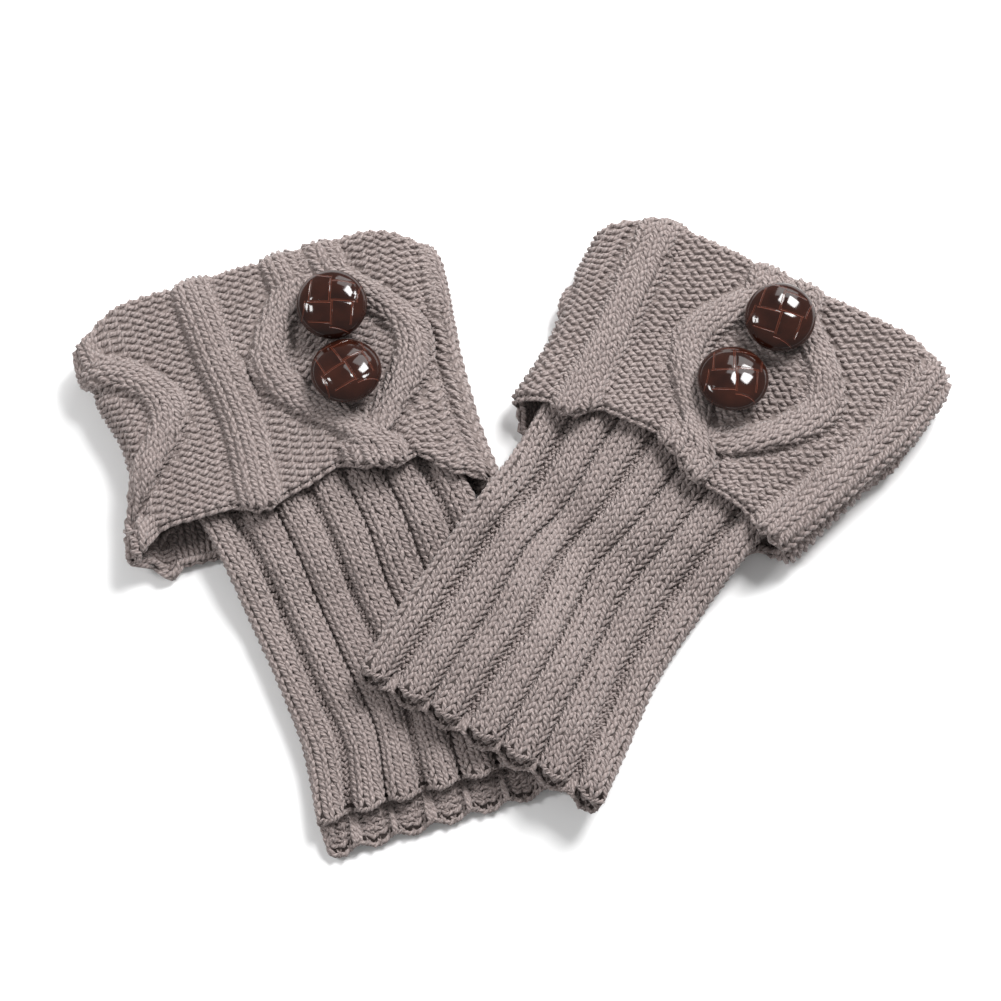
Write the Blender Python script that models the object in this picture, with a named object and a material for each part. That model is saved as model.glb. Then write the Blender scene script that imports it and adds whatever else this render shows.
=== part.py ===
"""Pair of knitted boot cuffs lying flat, the right cuff laid across the left cuff's leg.

Each cuff is a ribbed leg tube whose top is turned down over it as a wide cabled
band, with two domed buttons inside the front diamond of the cables.
A cuff has its own flat frame: "across" from its left edge to its right edge,
"along" from the leg's hem to the fold, and "up" from the surface it lies on.
Lengths in this file are millimetres until a mesh is written, in metres.
"""
import math
from collections import namedtuple

import bpy
import numpy as np

MM = 0.001

# ---------------------------------------------------------------- driving dimensions
WALL = 2.6              # thickness of the knitted cloth
SEAM_GAP = 0.3          # clearance between pieces that meet
LEG_POINTS = 56         # points round a leg, four to a rib
RIBS = 14               # ribs round a leg
RIB_CROWN = 0.35        # a rib's crown above the cloth's plain face
RIB_GULLY = 0.9         # a gully's depth below that face
RIB_FLANK = 0.1         # half the width of a gully's floor and of a crown, as a share of a rib
BAND_POINTS = 56        # points round a turned-down band, to match the leg at the seam
BAND_STEPS = 6          # lengths of cloth from the fold to the band's hem
BAND_HEM = 108.0        # along, where the band's hem would be if it were straight
HEM_SCALLOP = 1.4       # how far a rib reaches past the gullies at the leg's hem
ROPE_HEM_REACH = 3.0    # how far a rope's end hangs below the band's hem
FOLD_STEPS = 3          # facets round the fold
LAP = 8.0               # band inside the mouth, down to its seam with the leg
FOLD_RADIUS = 1.8       # radius of the cloth's middle where it turns over
LEG_HEIGHT = 8.0        # outer height of a leg lying flat: two walls and the air between
BAND_HEIGHT = 15.2      # outer height of a band lying flat round its leg
LEG_RISE = 3.6          # how high a leg's underside is where its band lies under it
CORNER_REACH = 22.0     # how far in from the sides the fold's corners are rounded
CORNER_DROP = 12.0      # how far a rounded corner falls
CORNER_FADE = 50.0      # length below the fold over which the rounding dies away
ROPE_HALF_WIDTH = 6.5   # a cable rope is three knit columns wide
ROPE_RELIEF = 1.6       # height of a rope above the purl ground
ROPE_FULLNESS = 0.7     # below 1 a rope is fuller than a cosine
DIAMOND_CENTRE = 0.55   # diamond's widest place, from hem 0 to fold 1
DIAMOND_REACH = 0.425   # from there to each crossing
CROSSED_SPREAD = 3.2    # from a diamond's middle to its rope below the crossing
FOLD_SPREAD = 6.3       # the same at the fold, where the two ropes run side by side
HEM_FADE = 45.0         # length above a hem over which front and back differ
REST_GAP = 1.4          # air between the left leg and the right cuff lying on it
RAMP = 22.0             # length over which the right cuff falls to the floor
HEM_RAMP_START = -6.0   # just below the left leg's hem
BUTTON_RADIUS = 11.5    # at the widest place
BUTTON_BACK_RADIUS = 9.6
BUTTON_RIM = 2.3        # height of the widest place above the back
BUTTON_HEIGHT = 7.6     # back to the top of the dome
BUTTON_SEGMENTS = 24
DOME_STEPS = 5
DOME_FULLNESS = 0.9     # below 1 the dome is fuller than an ellipse
SHANK_RADIUS = 2.2
SHANK_GAP = 0.45        # air between a shank and the cloth

# A row for each section: the outer edges of the flattened tube, how high its
# underside is, and its outer height.
Section = namedtuple("Section", "along left right bottom height")

LEFT_LEG = (
    Section(along=0, left=-34, right=50, bottom=0.0, height=LEG_HEIGHT),
    Section(along=30, left=-32, right=50, bottom=0.0, height=LEG_HEIGHT),
    Section(along=56, left=-34.5, right=48, bottom=0.0, height=LEG_HEIGHT),
    Section(along=72, left=-37, right=47, bottom=0.0, height=LEG_HEIGHT),
    Section(along=92, left=-40, right=45, bottom=LEG_RISE, height=LEG_HEIGHT),
    Section(along=106, left=-43, right=43, bottom=LEG_RISE, height=LEG_HEIGHT),
    Section(along=130, left=-51, right=43, bottom=LEG_RISE, height=LEG_HEIGHT),
    Section(along=160, left=-58, right=45, bottom=LEG_RISE, height=LEG_HEIGHT),
    Section(along=185, left=-61, right=47, bottom=LEG_RISE, height=LEG_HEIGHT),
)
LEFT_BAND = (
    Section(along=96, left=-65, right=49.5, bottom=0.0, height=BAND_HEIGHT),
    Section(along=112, left=-63, right=49.5, bottom=0.0, height=BAND_HEIGHT),
    Section(along=136, left=-61, right=50, bottom=0.0, height=BAND_HEIGHT),
    Section(along=160, left=-65, right=52, bottom=0.0, height=BAND_HEIGHT),
    Section(along=188, left=-68, right=54, bottom=0.0, height=BAND_HEIGHT),
)
RIGHT_LEG = (
    Section(along=0, left=-45, right=44, bottom=0.0, height=LEG_HEIGHT),
    Section(along=20, left=-44, right=42, bottom=0.0, height=LEG_HEIGHT),
    Section(along=44, left=-42, right=40, bottom=0.0, height=LEG_HEIGHT),
    Section(along=70, left=-39, right=42, bottom=0.0, height=LEG_HEIGHT),
    Section(along=90, left=-38, right=45, bottom=LEG_RISE, height=LEG_HEIGHT),
    Section(along=104, left=-38, right=48, bottom=LEG_RISE, height=LEG_HEIGHT),
    Section(along=130, left=-38, right=58, bottom=LEG_RISE, height=LEG_HEIGHT),
    Section(along=180, left=-43, right=69, bottom=LEG_RISE, height=LEG_HEIGHT),
)
RIGHT_BAND = (
    Section(along=94, left=-44, right=50, bottom=0.0, height=BAND_HEIGHT),
    Section(along=112, left=-45, right=58.5, bottom=0.0, height=BAND_HEIGHT),
    Section(along=132, left=-46.5, right=67.5, bottom=0.0, height=BAND_HEIGHT),
    Section(along=156, left=-49.5, right=75, bottom=0.0, height=BAND_HEIGHT),
    Section(along=180, left=-50.5, right=77, bottom=0.0, height=BAND_HEIGHT),
)

# Where a cable lies round the band, as a share of the way round from the left
# edge over the front, at the hem and at the fold.
Cable = namedtuple("Cable", "kind at_hem at_fold")

LEFT_CABLES = (
    Cable("rope", at_hem=0.187, at_fold=0.176),
    Cable("diamond", at_hem=0.351, at_fold=0.322),
    Cable("rope", at_hem=0.503, at_fold=0.503),
    Cable("diamond", at_hem=0.670, at_fold=0.670),
    Cable("rope", at_hem=0.835, at_fold=0.835),
    Cable("diamond", at_hem=0.990, at_fold=0.984),
)
RIGHT_CABLES = (
    Cable("rope", at_hem=0.094, at_fold=0.080),
    Cable("diamond", at_hem=0.276, at_fold=0.252),
    Cable("rope", at_hem=0.445, at_fold=0.469),
    Cable("diamond", at_hem=0.605, at_fold=0.605),
    Cable("rope", at_hem=0.745, at_fold=0.745),
    Cable("diamond", at_hem=0.872, at_fold=0.872),
)

# Half a diamond's greatest width, how far it leans to the right there, and how softly
# its two straight arms meet, as a share of their reach.
Diamond = namedtuple("Diamond", "half_width skew rounding")

LEFT_DIAMOND = Diamond(half_width=22.8, skew=1.7, rounding=0.3)
RIGHT_DIAMOND = Diamond(half_width=22.6, skew=3.6, rounding=0.55)

# Where a band's hem lies round the cuff: shares 0 and 0.5 are its two side edges.
HemPlace = namedtuple("HemPlace", "share along")

LEFT_BAND_HEM = (
    HemPlace(share=0.00, along=105),
    HemPlace(share=0.06, along=110),
    HemPlace(share=0.22, along=109),
    HemPlace(share=0.31, along=114),
    HemPlace(share=0.40, along=110),
    HemPlace(share=0.46, along=100),
    HemPlace(share=0.50, along=97),
    HemPlace(share=0.75, along=97),
    HemPlace(share=0.96, along=99),
)
RIGHT_BAND_HEM = (
    HemPlace(share=0.00, along=101),
    HemPlace(share=0.08, along=106),
    HemPlace(share=0.14, along=111),
    HemPlace(share=0.24, along=113),
    HemPlace(share=0.34, along=105),
    HemPlace(share=0.44, along=103),
    HemPlace(share=0.50, along=98),
    HemPlace(share=0.75, along=96),
    HemPlace(share=0.96, along=94),
)

# The fold and the hems, as distances along the cuff.
Cuff = namedtuple("Cuff", "name origin turn leg band cables diamond fold fold_slope"
                          " leg_hem_front leg_hem_back band_hem")

LEFT = Cuff(name="left", origin=(-26.7, -91.4), turn=16.6, leg=LEFT_LEG, band=LEFT_BAND,
            cables=LEFT_CABLES, diamond=LEFT_DIAMOND, fold=185.0, fold_slope=0.02,
            leg_hem_front=7.0, leg_hem_back=-3.5, band_hem=LEFT_BAND_HEM)
RIGHT = Cuff(name="right", origin=(-8.5, -68.2), turn=-29.5, leg=RIGHT_LEG, band=RIGHT_BAND,
             cables=RIGHT_CABLES, diamond=RIGHT_DIAMOND, fold=177.0, fold_slope=0.05,
             leg_hem_front=0.5, leg_hem_back=-2.5, band_hem=RIGHT_BAND_HEM)

# A button's place on its cuff, how far it leans towards the fold, and its shank.
Button = namedtuple("Button", "name cuff across along lean shank")

BUTTONS = (
    Button("left_upper_button", LEFT, across=16.8, along=163.4, lean=-4.0, shank=4.2),
    Button("left_lower_button", LEFT, across=15.0, along=140.3, lean=12.0, shank=2.9),
    Button("right_upper_button", RIGHT, across=17.0, along=163.9, lean=-4.0, shank=3.0),
    Button("right_lower_button", RIGHT, across=13.8, along=137.6, lean=12.0, shank=2.9),
)


# ---------------------------------------------------------------- small mathematics
def smooth(x):
    """0 below 0, 1 above 1, and an S between."""
    x = min(max(x, 0.0), 1.0)
    return x * x * (3.0 - 2.0 * x)


def level_slope(before, after):
    """Slope at a row between two runs, level at a flat or a peak, so nothing overshoots."""
    return 0.0 if before * after <= 0 else 2 * before * after / (before + after)


def read_section(rows, along):
    """The section at a distance along, on a smooth curve through the rows."""
    places = [row.along for row in rows]
    along = min(max(along, places[0]), places[-1])
    after = min(max(int(np.searchsorted(places, along)), 1), len(rows) - 1)
    before = after - 1
    span = places[after] - places[before]
    t = (along - places[before]) / span
    values = []
    for column in Section._fields[1:]:
        numbers = [getattr(row, column) for row in rows]
        runs = np.diff(numbers) / np.diff(places)
        slopes = [runs[0], *map(level_slope, runs, runs[1:]), runs[-1]]
        values.append((2 * t**3 - 3 * t**2 + 1) * numbers[before]
                      + (t**3 - 2 * t**2 + t) * span * slopes[before]
                      + (3 * t**2 - 2 * t**3) * numbers[after]
                      + (t**3 - t**2) * span * slopes[after])
    return Section(along, *values)


def round_the_tube(section, share, inset):
    """Place on a flattened tube's round, inset from its outer face.

    The round is a stadium, two straights and two half circles, walked at an even
    pace from the left edge, over the front, to the back. Returns across, up, and
    how far the place faces up, from 1 on the front to -1 on the back.
    """
    radius = section.height / 2 - inset
    left = section.left + section.height / 2
    right = section.right - section.height / 2
    middle = section.bottom + section.height / 2
    quarter = math.pi * (section.height - WALL) / 4
    straight = right - left
    walked = (share % 1.0) * (2 * straight + 4 * quarter)
    if walked < quarter:
        turn = walked / quarter * math.pi / 2
        return left - radius * math.cos(turn), middle + radius * math.sin(turn), math.sin(turn)
    walked -= quarter
    if walked < straight:
        return left + walked, middle + radius, 1.0
    walked -= straight
    if walked < 2 * quarter:
        turn = math.pi / 2 - walked / quarter * math.pi / 2
        return right + radius * math.cos(turn), middle + radius * math.sin(turn), math.sin(turn)
    walked -= 2 * quarter
    if walked < straight:
        return right - walked, middle - radius, -1.0
    turn = (walked - straight) / quarter * math.pi / 2
    return left - radius * math.sin(turn), middle - radius * math.cos(turn), -math.cos(turn)


def to_surface(cuff, across, along):
    """A place of the cuff's own frame on the surface that the pair lies on."""
    turn = math.radians(cuff.turn)
    return (cuff.origin[0] + across * math.cos(turn) - along * math.sin(turn),
            cuff.origin[1] + across * math.sin(turn) + along * math.cos(turn))


def from_surface(cuff, x, y):
    """The other way round: across and along in the cuff's own frame."""
    turn = math.radians(cuff.turn)
    dx, dy = x - cuff.origin[0], y - cuff.origin[1]
    return (dx * math.cos(turn) + dy * math.sin(turn),
            -dx * math.sin(turn) + dy * math.cos(turn))


def lift(cuff, x, y):
    """How far the right cuff is raised where it lies on the left cuff's leg."""
    if cuff is LEFT:
        return 0.0
    across, along = from_surface(LEFT, x, y)
    leg = read_section(LEFT_LEG, along)
    top = leg.bottom + leg.height + RIB_CROWN + REST_GAP
    beside = 1.0 - smooth((across - leg.right - 1.0) / RAMP)
    below = 1.0 - smooth((HEM_RAMP_START - along) / RAMP)
    return top * beside * below


def place(cuff, across, along, up):
    """World position in metres of a place in the cuff's own frame."""
    x, y = to_surface(cuff, across, along)
    return np.array((x, y, up + lift(cuff, x, y))) * MM


# ---------------------------------------------------------------- the cloth's shape
def rounded_along(cuff, section, across, along):
    """Along, lowered towards the sides so that the fold has rounded corners."""
    nearness = smooth(1.0 - (cuff.fold - along) / CORNER_FADE)
    side_distance = min(across - section.left, section.right - across)
    corner = max(0.0, 1.0 - side_distance / CORNER_REACH)
    return along + nearness * (cuff.fold_slope * across - CORNER_DROP * corner**2)


def leg_hem(cuff, share, facing_up):
    """Along at the leg's scalloped hem, which is lower at the back."""
    front_share = smooth((facing_up + 1) / 2)
    level = cuff.leg_hem_back + (cuff.leg_hem_front - cuff.leg_hem_back) * front_share
    return level + HEM_SCALLOP * math.cos(2 * math.pi * RIBS * share) / 2


def band_hem(cuff, share):
    """Along at the band's hem, on a smooth closed line through its places."""
    rows = cuff.band_hem + (HemPlace(1.0, cuff.band_hem[0].along),)
    share = share % 1.0
    for before, after in zip(rows, rows[1:]):
        if share <= after.share:
            way = smooth((share - before.share) / (after.share - before.share))
            return before.along + (after.along - before.along) * way


def hem_shift(along, middle, wanted):
    """Along, moved near a hem so that the cloth ends at the wanted place."""
    return along + (wanted - middle) * smooth(1.0 - (along - middle) / HEM_FADE)


def leg_place(cuff, share, along, inset):
    """World position on the leg tube, inset from its outer face."""
    section = read_section(cuff.leg, along)
    across, up, facing_up = round_the_tube(section, share, inset)
    middle_across = round_the_tube(section, share, WALL / 2)[0]
    along = hem_shift(along, 0.0, leg_hem(cuff, share, facing_up))
    return place(cuff, across, rounded_along(cuff, section, middle_across, along), up)


def rib_inset(cuff, share, along):
    """Inset of the ribbed face: crowns and gullies, flat underneath and at the seam."""
    position = share * RIBS % 1.0
    depth = RIB_GULLY if min(position, 1 - position) < RIB_FLANK else 0.0
    crown = RIB_CROWN if abs(position - 0.5) < RIB_FLANK else 0.0
    facing_up = round_the_tube(read_section(cuff.leg, along), share, WALL / 2)[2]
    below_seam = smooth((leg_top(cuff) - along) / HEM_FADE)
    return (depth - crown) * smooth(1.0 + 3.0 * facing_up) * below_seam


def leg_top(cuff):
    """Along at the leg's edge that meets the band inside the mouth."""
    return cuff.fold - LAP - SEAM_GAP


def band_length(cuff):
    """Cloth from the seam inside the mouth, over the fold, to the hem."""
    return LAP + math.pi * FOLD_RADIUS + cuff.fold - BAND_HEM


def rope_relief(distance):
    """Height of a rope at a distance from its middle, as a soft ridge."""
    if distance > ROPE_HALF_WIDTH:
        return 0.0
    return ROPE_RELIEF * math.cos(distance / ROPE_HALF_WIDTH * math.pi / 2) ** ROPE_FULLNESS


def diamond_width(diamond, height_share):
    """1 at a diamond's widest place, and 0 where its two ropes would meet."""
    from_widest = abs(height_share - DIAMOND_CENTRE) / DIAMOND_REACH
    fall = math.hypot(from_widest, diamond.rounding) - diamond.rounding
    return 1.0 - fall / (math.hypot(1.0, diamond.rounding) - diamond.rounding)


def band_relief(cuff, share, walked):
    """Height of the cable ropes above the band's purl ground."""
    start = LAP + math.pi * FOLD_RADIUS
    length = cuff.fold - BAND_HEM
    height_share = 1.0 - max(walked - start, 0.0) / length
    section = read_section(cuff.band, BAND_HEM + height_share * length)
    girth = 2 * (section.right - section.left)
    relief = 0.0
    for cable in cuff.cables:
        middle = cable.at_hem + (cable.at_fold - cable.at_hem) * height_share
        spread = 0.0
        if cable.kind == "diamond":
            width = diamond_width(cuff.diamond, height_share)
            middle += cuff.diamond.skew * max(width, 0.0) / girth
            least = FOLD_SPREAD if height_share > DIAMOND_CENTRE else CROSSED_SPREAD
            spread = max(cuff.diamond.half_width * width, least)
        offset = (share - middle + 0.5) % 1.0 - 0.5
        for side in (-1, 1):
            relief = max(relief, rope_relief(abs(offset * girth - side * spread)))
    return relief * smooth(walked / LAP)


def band_middle(cuff, share, walked):
    """World position on the middle of the band's cloth, walked from its seam."""
    arc = math.pi * FOLD_RADIUS
    if walked < LAP:
        along, turned = cuff.fold - LAP + walked, 0.0
    elif walked < LAP + arc:
        angle = (walked - LAP) / FOLD_RADIUS
        along, turned = cuff.fold + FOLD_RADIUS * math.sin(angle), (1 - math.cos(angle)) / 2
    else:
        along, turned = cuff.fold - (walked - LAP - arc), 1.0
    inner = read_section(cuff.leg, along)
    outer = read_section(cuff.band, along)
    inner_across, inner_up = round_the_tube(inner, share, WALL / 2)[:2]
    outer_across, outer_up = round_the_tube(outer, share, WALL / 2)[:2]
    across = inner_across + (outer_across - inner_across) * turned
    up = inner_up + (outer_up - inner_up) * turned
    along = rounded_along(cuff, outer if turned > 0.5 else inner, across, along)
    if turned == 1.0:
        reach = ROPE_HEM_REACH * band_relief(cuff, share, walked) / ROPE_RELIEF
        along = hem_shift(along, BAND_HEM, band_hem(cuff, share) - reach)
    return place(cuff, across, along, up)


# ---------------------------------------------------------------- meshes
def add_object(name, points, faces, material):
    """A smooth-shaded object from points in metres and faces."""
    mesh = bpy.data.meshes.new(name)
    mesh.from_pydata([tuple(point) for point in points], [], faces)
    mesh.materials.append(material)
    mesh.shade_smooth()
    mesh.set_sharp_from_angle(angle=math.radians(50))
    made = bpy.data.objects.new(name, mesh)
    bpy.context.scene.collection.objects.link(made)
    return made


def add_wall(name, outer, inner, material):
    """A closed wall between an outer and an inner stack of rings.

    The rims are triangles cut the same way on every wall, so two edges that follow
    one line stay the same distance apart.
    """
    rings, around = len(outer), len(outer[0])
    points = [point for ring in outer + inner for point in ring]
    faces = []
    for ring in range(rings - 1):
        for step in range(around):
            after = (step + 1) % around
            a, b = ring * around + step, ring * around + after
            c, d = b + around, a + around
            faces.append((a, b, c, d))
            shift = rings * around
            faces.append((a + shift, d + shift, c + shift, b + shift))
    for ring, turned in ((0, False), (rings - 1, True)):
        for step in range(around):
            after = (step + 1) % around
            a, b = ring * around + step, ring * around + after
            c, d = b + rings * around, a + rings * around
            for rim in ((a, b, c), (a, c, d)):
                faces.append(rim if turned else rim[::-1])
    return add_object(name, points, faces, material)


def add_leg(cuff, material):
    """The ribbed leg tube, from its hem to the seam inside the mouth."""
    top = leg_top(cuff)
    shares = [point / LEG_POINTS for point in range(LEG_POINTS)]
    outer, inner = [], []
    for along in [row.along for row in cuff.leg if row.along < top] + [top]:
        outer.append([leg_place(cuff, share, along, rib_inset(cuff, share, along))
                      for share in shares])
        inner.append([leg_place(cuff, share, along, WALL) for share in shares])
    return add_wall(cuff.name + "_leg", outer, inner, material)


def band_stations(cuff):
    """Distances walked over the band's cloth at which it has a ring."""
    arc = math.pi * FOLD_RADIUS
    stations = [0.0]
    stations += [LAP + arc * step / FOLD_STEPS for step in range(FOLD_STEPS + 1)]
    fall = cuff.fold - BAND_HEM
    stations += [LAP + arc + fall * step / BAND_STEPS for step in range(1, BAND_STEPS + 1)]
    return stations


def band_face(cuff, share, walked):
    """World positions on the showing face and on the hidden face of the band."""
    tiny = 0.05
    middle = band_middle(cuff, share, walked)
    around = band_middle(cuff, share + 0.002, walked) - band_middle(cuff, share - 0.002, walked)
    low = max(walked - tiny, 0.0)
    high = min(walked + tiny, band_length(cuff))
    forward = band_middle(cuff, share, high) - band_middle(cuff, share, low)
    if walked == 0.0:
        forward = place(cuff, 0.0, 1.0, 0.0) - place(cuff, 0.0, 0.0, 0.0)
    out = np.cross(forward, around)
    out /= np.linalg.norm(out)
    facing_down = smooth(-out[2] * 4.0)
    proud = band_relief(cuff, share, walked) * (1.0 - facing_down)
    return middle + out * (WALL / 2 + proud) * MM, middle - out * WALL / 2 * MM


def add_band(cuff, material):
    """The turned-down band, one cloth from the seam over the fold to its hem."""
    showing, hidden = [], []
    for walked in band_stations(cuff):
        pairs = [band_face(cuff, point / BAND_POINTS, walked) for point in range(BAND_POINTS)]
        showing.append([pair[0] for pair in pairs])
        hidden.append([pair[1] for pair in pairs])
    return add_wall(cuff.name + "_band", hidden, showing, material)


def button_profile(shank):
    """Half section of a domed button on its shank, from the axis below to the top."""
    profile = [(0.0, -shank), (SHANK_RADIUS, -shank), (SHANK_RADIUS, 0.0),
               (BUTTON_BACK_RADIUS, 0.0), (BUTTON_RADIUS - 0.5, BUTTON_RIM * 0.45)]
    for step in range(DOME_STEPS):
        angle = math.pi / 2 * step / DOME_STEPS
        profile.append((BUTTON_RADIUS * math.cos(angle) ** DOME_FULLNESS,
                        BUTTON_RIM + (BUTTON_HEIGHT - BUTTON_RIM) * math.sin(angle)))
    profile.append((0.0, BUTTON_HEIGHT))
    return profile


def add_button(button, material):
    """A button turned about its axis, leaning, with its shank just off the cloth."""
    band = read_section(button.cuff.band, button.along)
    foot = band.bottom + band.height + SHANK_GAP
    lean = math.radians(button.lean)
    foot += abs(math.sin(lean)) * SHANK_RADIUS
    x, y = to_surface(button.cuff, button.across, button.along)
    base = np.array((x, y, foot + lift(button.cuff, x, y) + button.shank * math.cos(lean)))
    points, faces, rings = [], [], []
    for radius, height in button_profile(button.shank):
        ring = []
        for step in range(BUTTON_SEGMENTS if radius > 0 else 1):
            angle = 2 * math.pi * step / BUTTON_SEGMENTS
            side, forward = radius * math.cos(angle), radius * math.sin(angle)
            leaning = (side, forward * math.cos(lean) + height * math.sin(lean),
                       height * math.cos(lean) - forward * math.sin(lean))
            ring.append(len(points))
            points.append((base + leaning) * MM)
        rings.append(ring)
    for low, high in zip(rings, rings[1:]):
        for step in range(BUTTON_SEGMENTS):
            after = (step + 1) % BUTTON_SEGMENTS
            face = [low[step % len(low)], low[after % len(low)],
                    high[after % len(high)], high[step % len(high)]]
            faces.append(tuple(dict.fromkeys(face)))
    return add_object(button.name, points, faces, material)


def add_material(name, colour, roughness):
    """A plain surface finish."""
    material = bpy.data.materials.new(name)
    material.use_nodes = True
    shader = material.node_tree.nodes["Principled BSDF"]
    shader.inputs["Base Color"].default_value = (*colour, 1.0)
    shader.inputs["Roughness"].default_value = roughness
    shader.inputs["Metallic"].default_value = 0.0
    return material


def main():
    """Clear the scene and build the pair."""
    for old in list(bpy.data.objects):
        bpy.data.objects.remove(old, do_unlink=True)
    for cuff in (LEFT, RIGHT):
        add_leg(cuff, add_material(cuff.name + "_leg_yarn", (0.36, 0.31, 0.29), 0.95))
        add_band(cuff, add_material(cuff.name + "_band_yarn", (0.38, 0.33, 0.31), 0.95))
    for button in BUTTONS:
        add_button(button, add_material(button.name + "_gloss", (0.055, 0.016, 0.009), 0.2))


main()
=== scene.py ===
# %% [markdown]
# # A pair of knitted boot cuffs
# Each cuff is knitted in the round: a ribbed leg tube and, above it, a wide cabled
# band that is folded over and turned down. Two domed buttons sit inside the cable
# diamond. The pair lies flat, the right cuff across the left cuff's leg.
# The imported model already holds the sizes. This lesson gives it its looks: real loops
# of yarn that follow the cloth's surface, and buttons with a moulded strap weave.

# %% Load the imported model
import math
from collections import namedtuple

import bpy
import numpy as np
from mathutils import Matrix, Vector


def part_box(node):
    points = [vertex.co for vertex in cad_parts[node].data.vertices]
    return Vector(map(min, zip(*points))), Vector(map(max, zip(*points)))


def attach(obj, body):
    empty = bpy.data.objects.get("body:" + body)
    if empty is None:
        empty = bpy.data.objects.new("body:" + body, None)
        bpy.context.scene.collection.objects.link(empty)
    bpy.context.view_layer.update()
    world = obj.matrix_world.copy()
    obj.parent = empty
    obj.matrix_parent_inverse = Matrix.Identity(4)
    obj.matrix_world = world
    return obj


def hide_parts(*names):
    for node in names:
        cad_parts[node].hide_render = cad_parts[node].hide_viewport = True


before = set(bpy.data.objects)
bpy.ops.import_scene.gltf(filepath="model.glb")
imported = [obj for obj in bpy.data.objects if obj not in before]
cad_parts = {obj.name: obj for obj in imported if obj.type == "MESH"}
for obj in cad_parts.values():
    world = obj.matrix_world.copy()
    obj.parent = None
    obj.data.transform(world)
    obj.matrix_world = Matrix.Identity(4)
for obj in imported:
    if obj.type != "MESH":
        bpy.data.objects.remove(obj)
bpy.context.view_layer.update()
MM = 0.001
chance = np.random.default_rng(11)
print("nodes:", sorted(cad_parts))

# %% [markdown]
# ## The cuffs in numbers
# The model is a set of flattened tubes, so a few section rows describe it. A place on
# the cloth has two numbers: its share of the way round, from the left edge over the
# front, and how far it was walked over the cloth towards the hem. Working in these two
# numbers means that a stitch bends with the cloth by itself. Lengths are millimetres.

# %% Sizes of the cloth
WALL = 2.6                 # thickness of the knitted cloth
LEG_HEIGHT = 8.0           # height of a leg lying flat
BAND_HEIGHT = 15.2         # height of a turned-down band, with the leg inside it
LEG_RISE = 3.6             # how far a leg is raised inside its band
SEAM_GAP = 0.3             # between the leg and the band inside the mouth
RIBS = 14                  # ribs round a leg
LAP = 8.0                  # band inside the mouth, down to its seam
FOLD_RADIUS = 1.8          # radius of the cloth's middle where it turns over
BAND_HEM = 108.0           # along, where the band's hem would be if it were straight
CORNER_REACH = 22.0        # how far in from the sides the fold's corners are rounded
CORNER_DROP = 12.0         # how far a rounded corner falls
CORNER_FADE = 50.0         # length below the fold over which the rounding dies away
HEM_FADE = 45.0            # length above a hem over which front and back differ
HEM_SCALLOP = 1.8          # how far a rib reaches past the gullies at the leg's hem
ROPE_HEM_REACH = 3.0       # how far a rope's end hangs below the band's hem
RIB_CROWN = 0.35           # a rib's crown above the left leg's plain face
REST_GAP = 1.4             # air between the left leg and the right cuff lying on it
RAMP = 22.0                # length over which the right cuff falls to the floor
HEM_RAMP_START = -6.0      # along, where that fall starts below the left leg's hem

Section = namedtuple("Section", "along left right bottom height", defaults=(0.0, LEG_HEIGHT))
Cable = namedtuple("Cable", "kind at_hem at_fold")
HemPlace = namedtuple("HemPlace", "share along")
Cuff = namedtuple("Cuff", "name origin turn leg band cables fold fold_slope"
                          " leg_hem_front leg_hem_back band_hem")

LEFT = Cuff(
    name="left", origin=(-26.7, -91.4), turn=16.6, fold=185.0, fold_slope=0.02,
    leg_hem_front=7.0, leg_hem_back=-3.5,
    leg=(
        Section(along=0, left=-34, right=50),
        Section(along=30, left=-32, right=50),
        Section(along=56, left=-34.5, right=48),
        Section(along=72, left=-37, right=47),
        Section(along=92, left=-40, right=45, bottom=LEG_RISE),
        Section(along=106, left=-43, right=43, bottom=LEG_RISE),
        Section(along=130, left=-51, right=43, bottom=LEG_RISE),
        Section(along=160, left=-58, right=45, bottom=LEG_RISE),
        Section(along=185, left=-61, right=47, bottom=LEG_RISE),
    ),
    band=(
        Section(along=96, left=-65, right=49.5, height=BAND_HEIGHT),
        Section(along=112, left=-63, right=49.5, height=BAND_HEIGHT),
        Section(along=136, left=-61, right=50, height=BAND_HEIGHT),
        Section(along=160, left=-65, right=52, height=BAND_HEIGHT),
        Section(along=188, left=-68, right=54, height=BAND_HEIGHT),
    ),
    cables=(
        Cable("rope", at_hem=0.187, at_fold=0.176),
        Cable("diamond", at_hem=0.351, at_fold=0.322),
        Cable("rope", at_hem=0.503, at_fold=0.503),
        Cable("diamond", at_hem=0.670, at_fold=0.670),
        Cable("rope", at_hem=0.835, at_fold=0.835),
        Cable("diamond", at_hem=0.990, at_fold=0.984),
    ),
    band_hem=(
        HemPlace(share=0.00, along=105),
        HemPlace(share=0.06, along=110),
        HemPlace(share=0.22, along=109),
        HemPlace(share=0.31, along=114),
        HemPlace(share=0.40, along=110),
        HemPlace(share=0.46, along=100),
        HemPlace(share=0.50, along=97),
        HemPlace(share=0.75, along=97),
        HemPlace(share=0.96, along=99),
    ),
)
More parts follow.
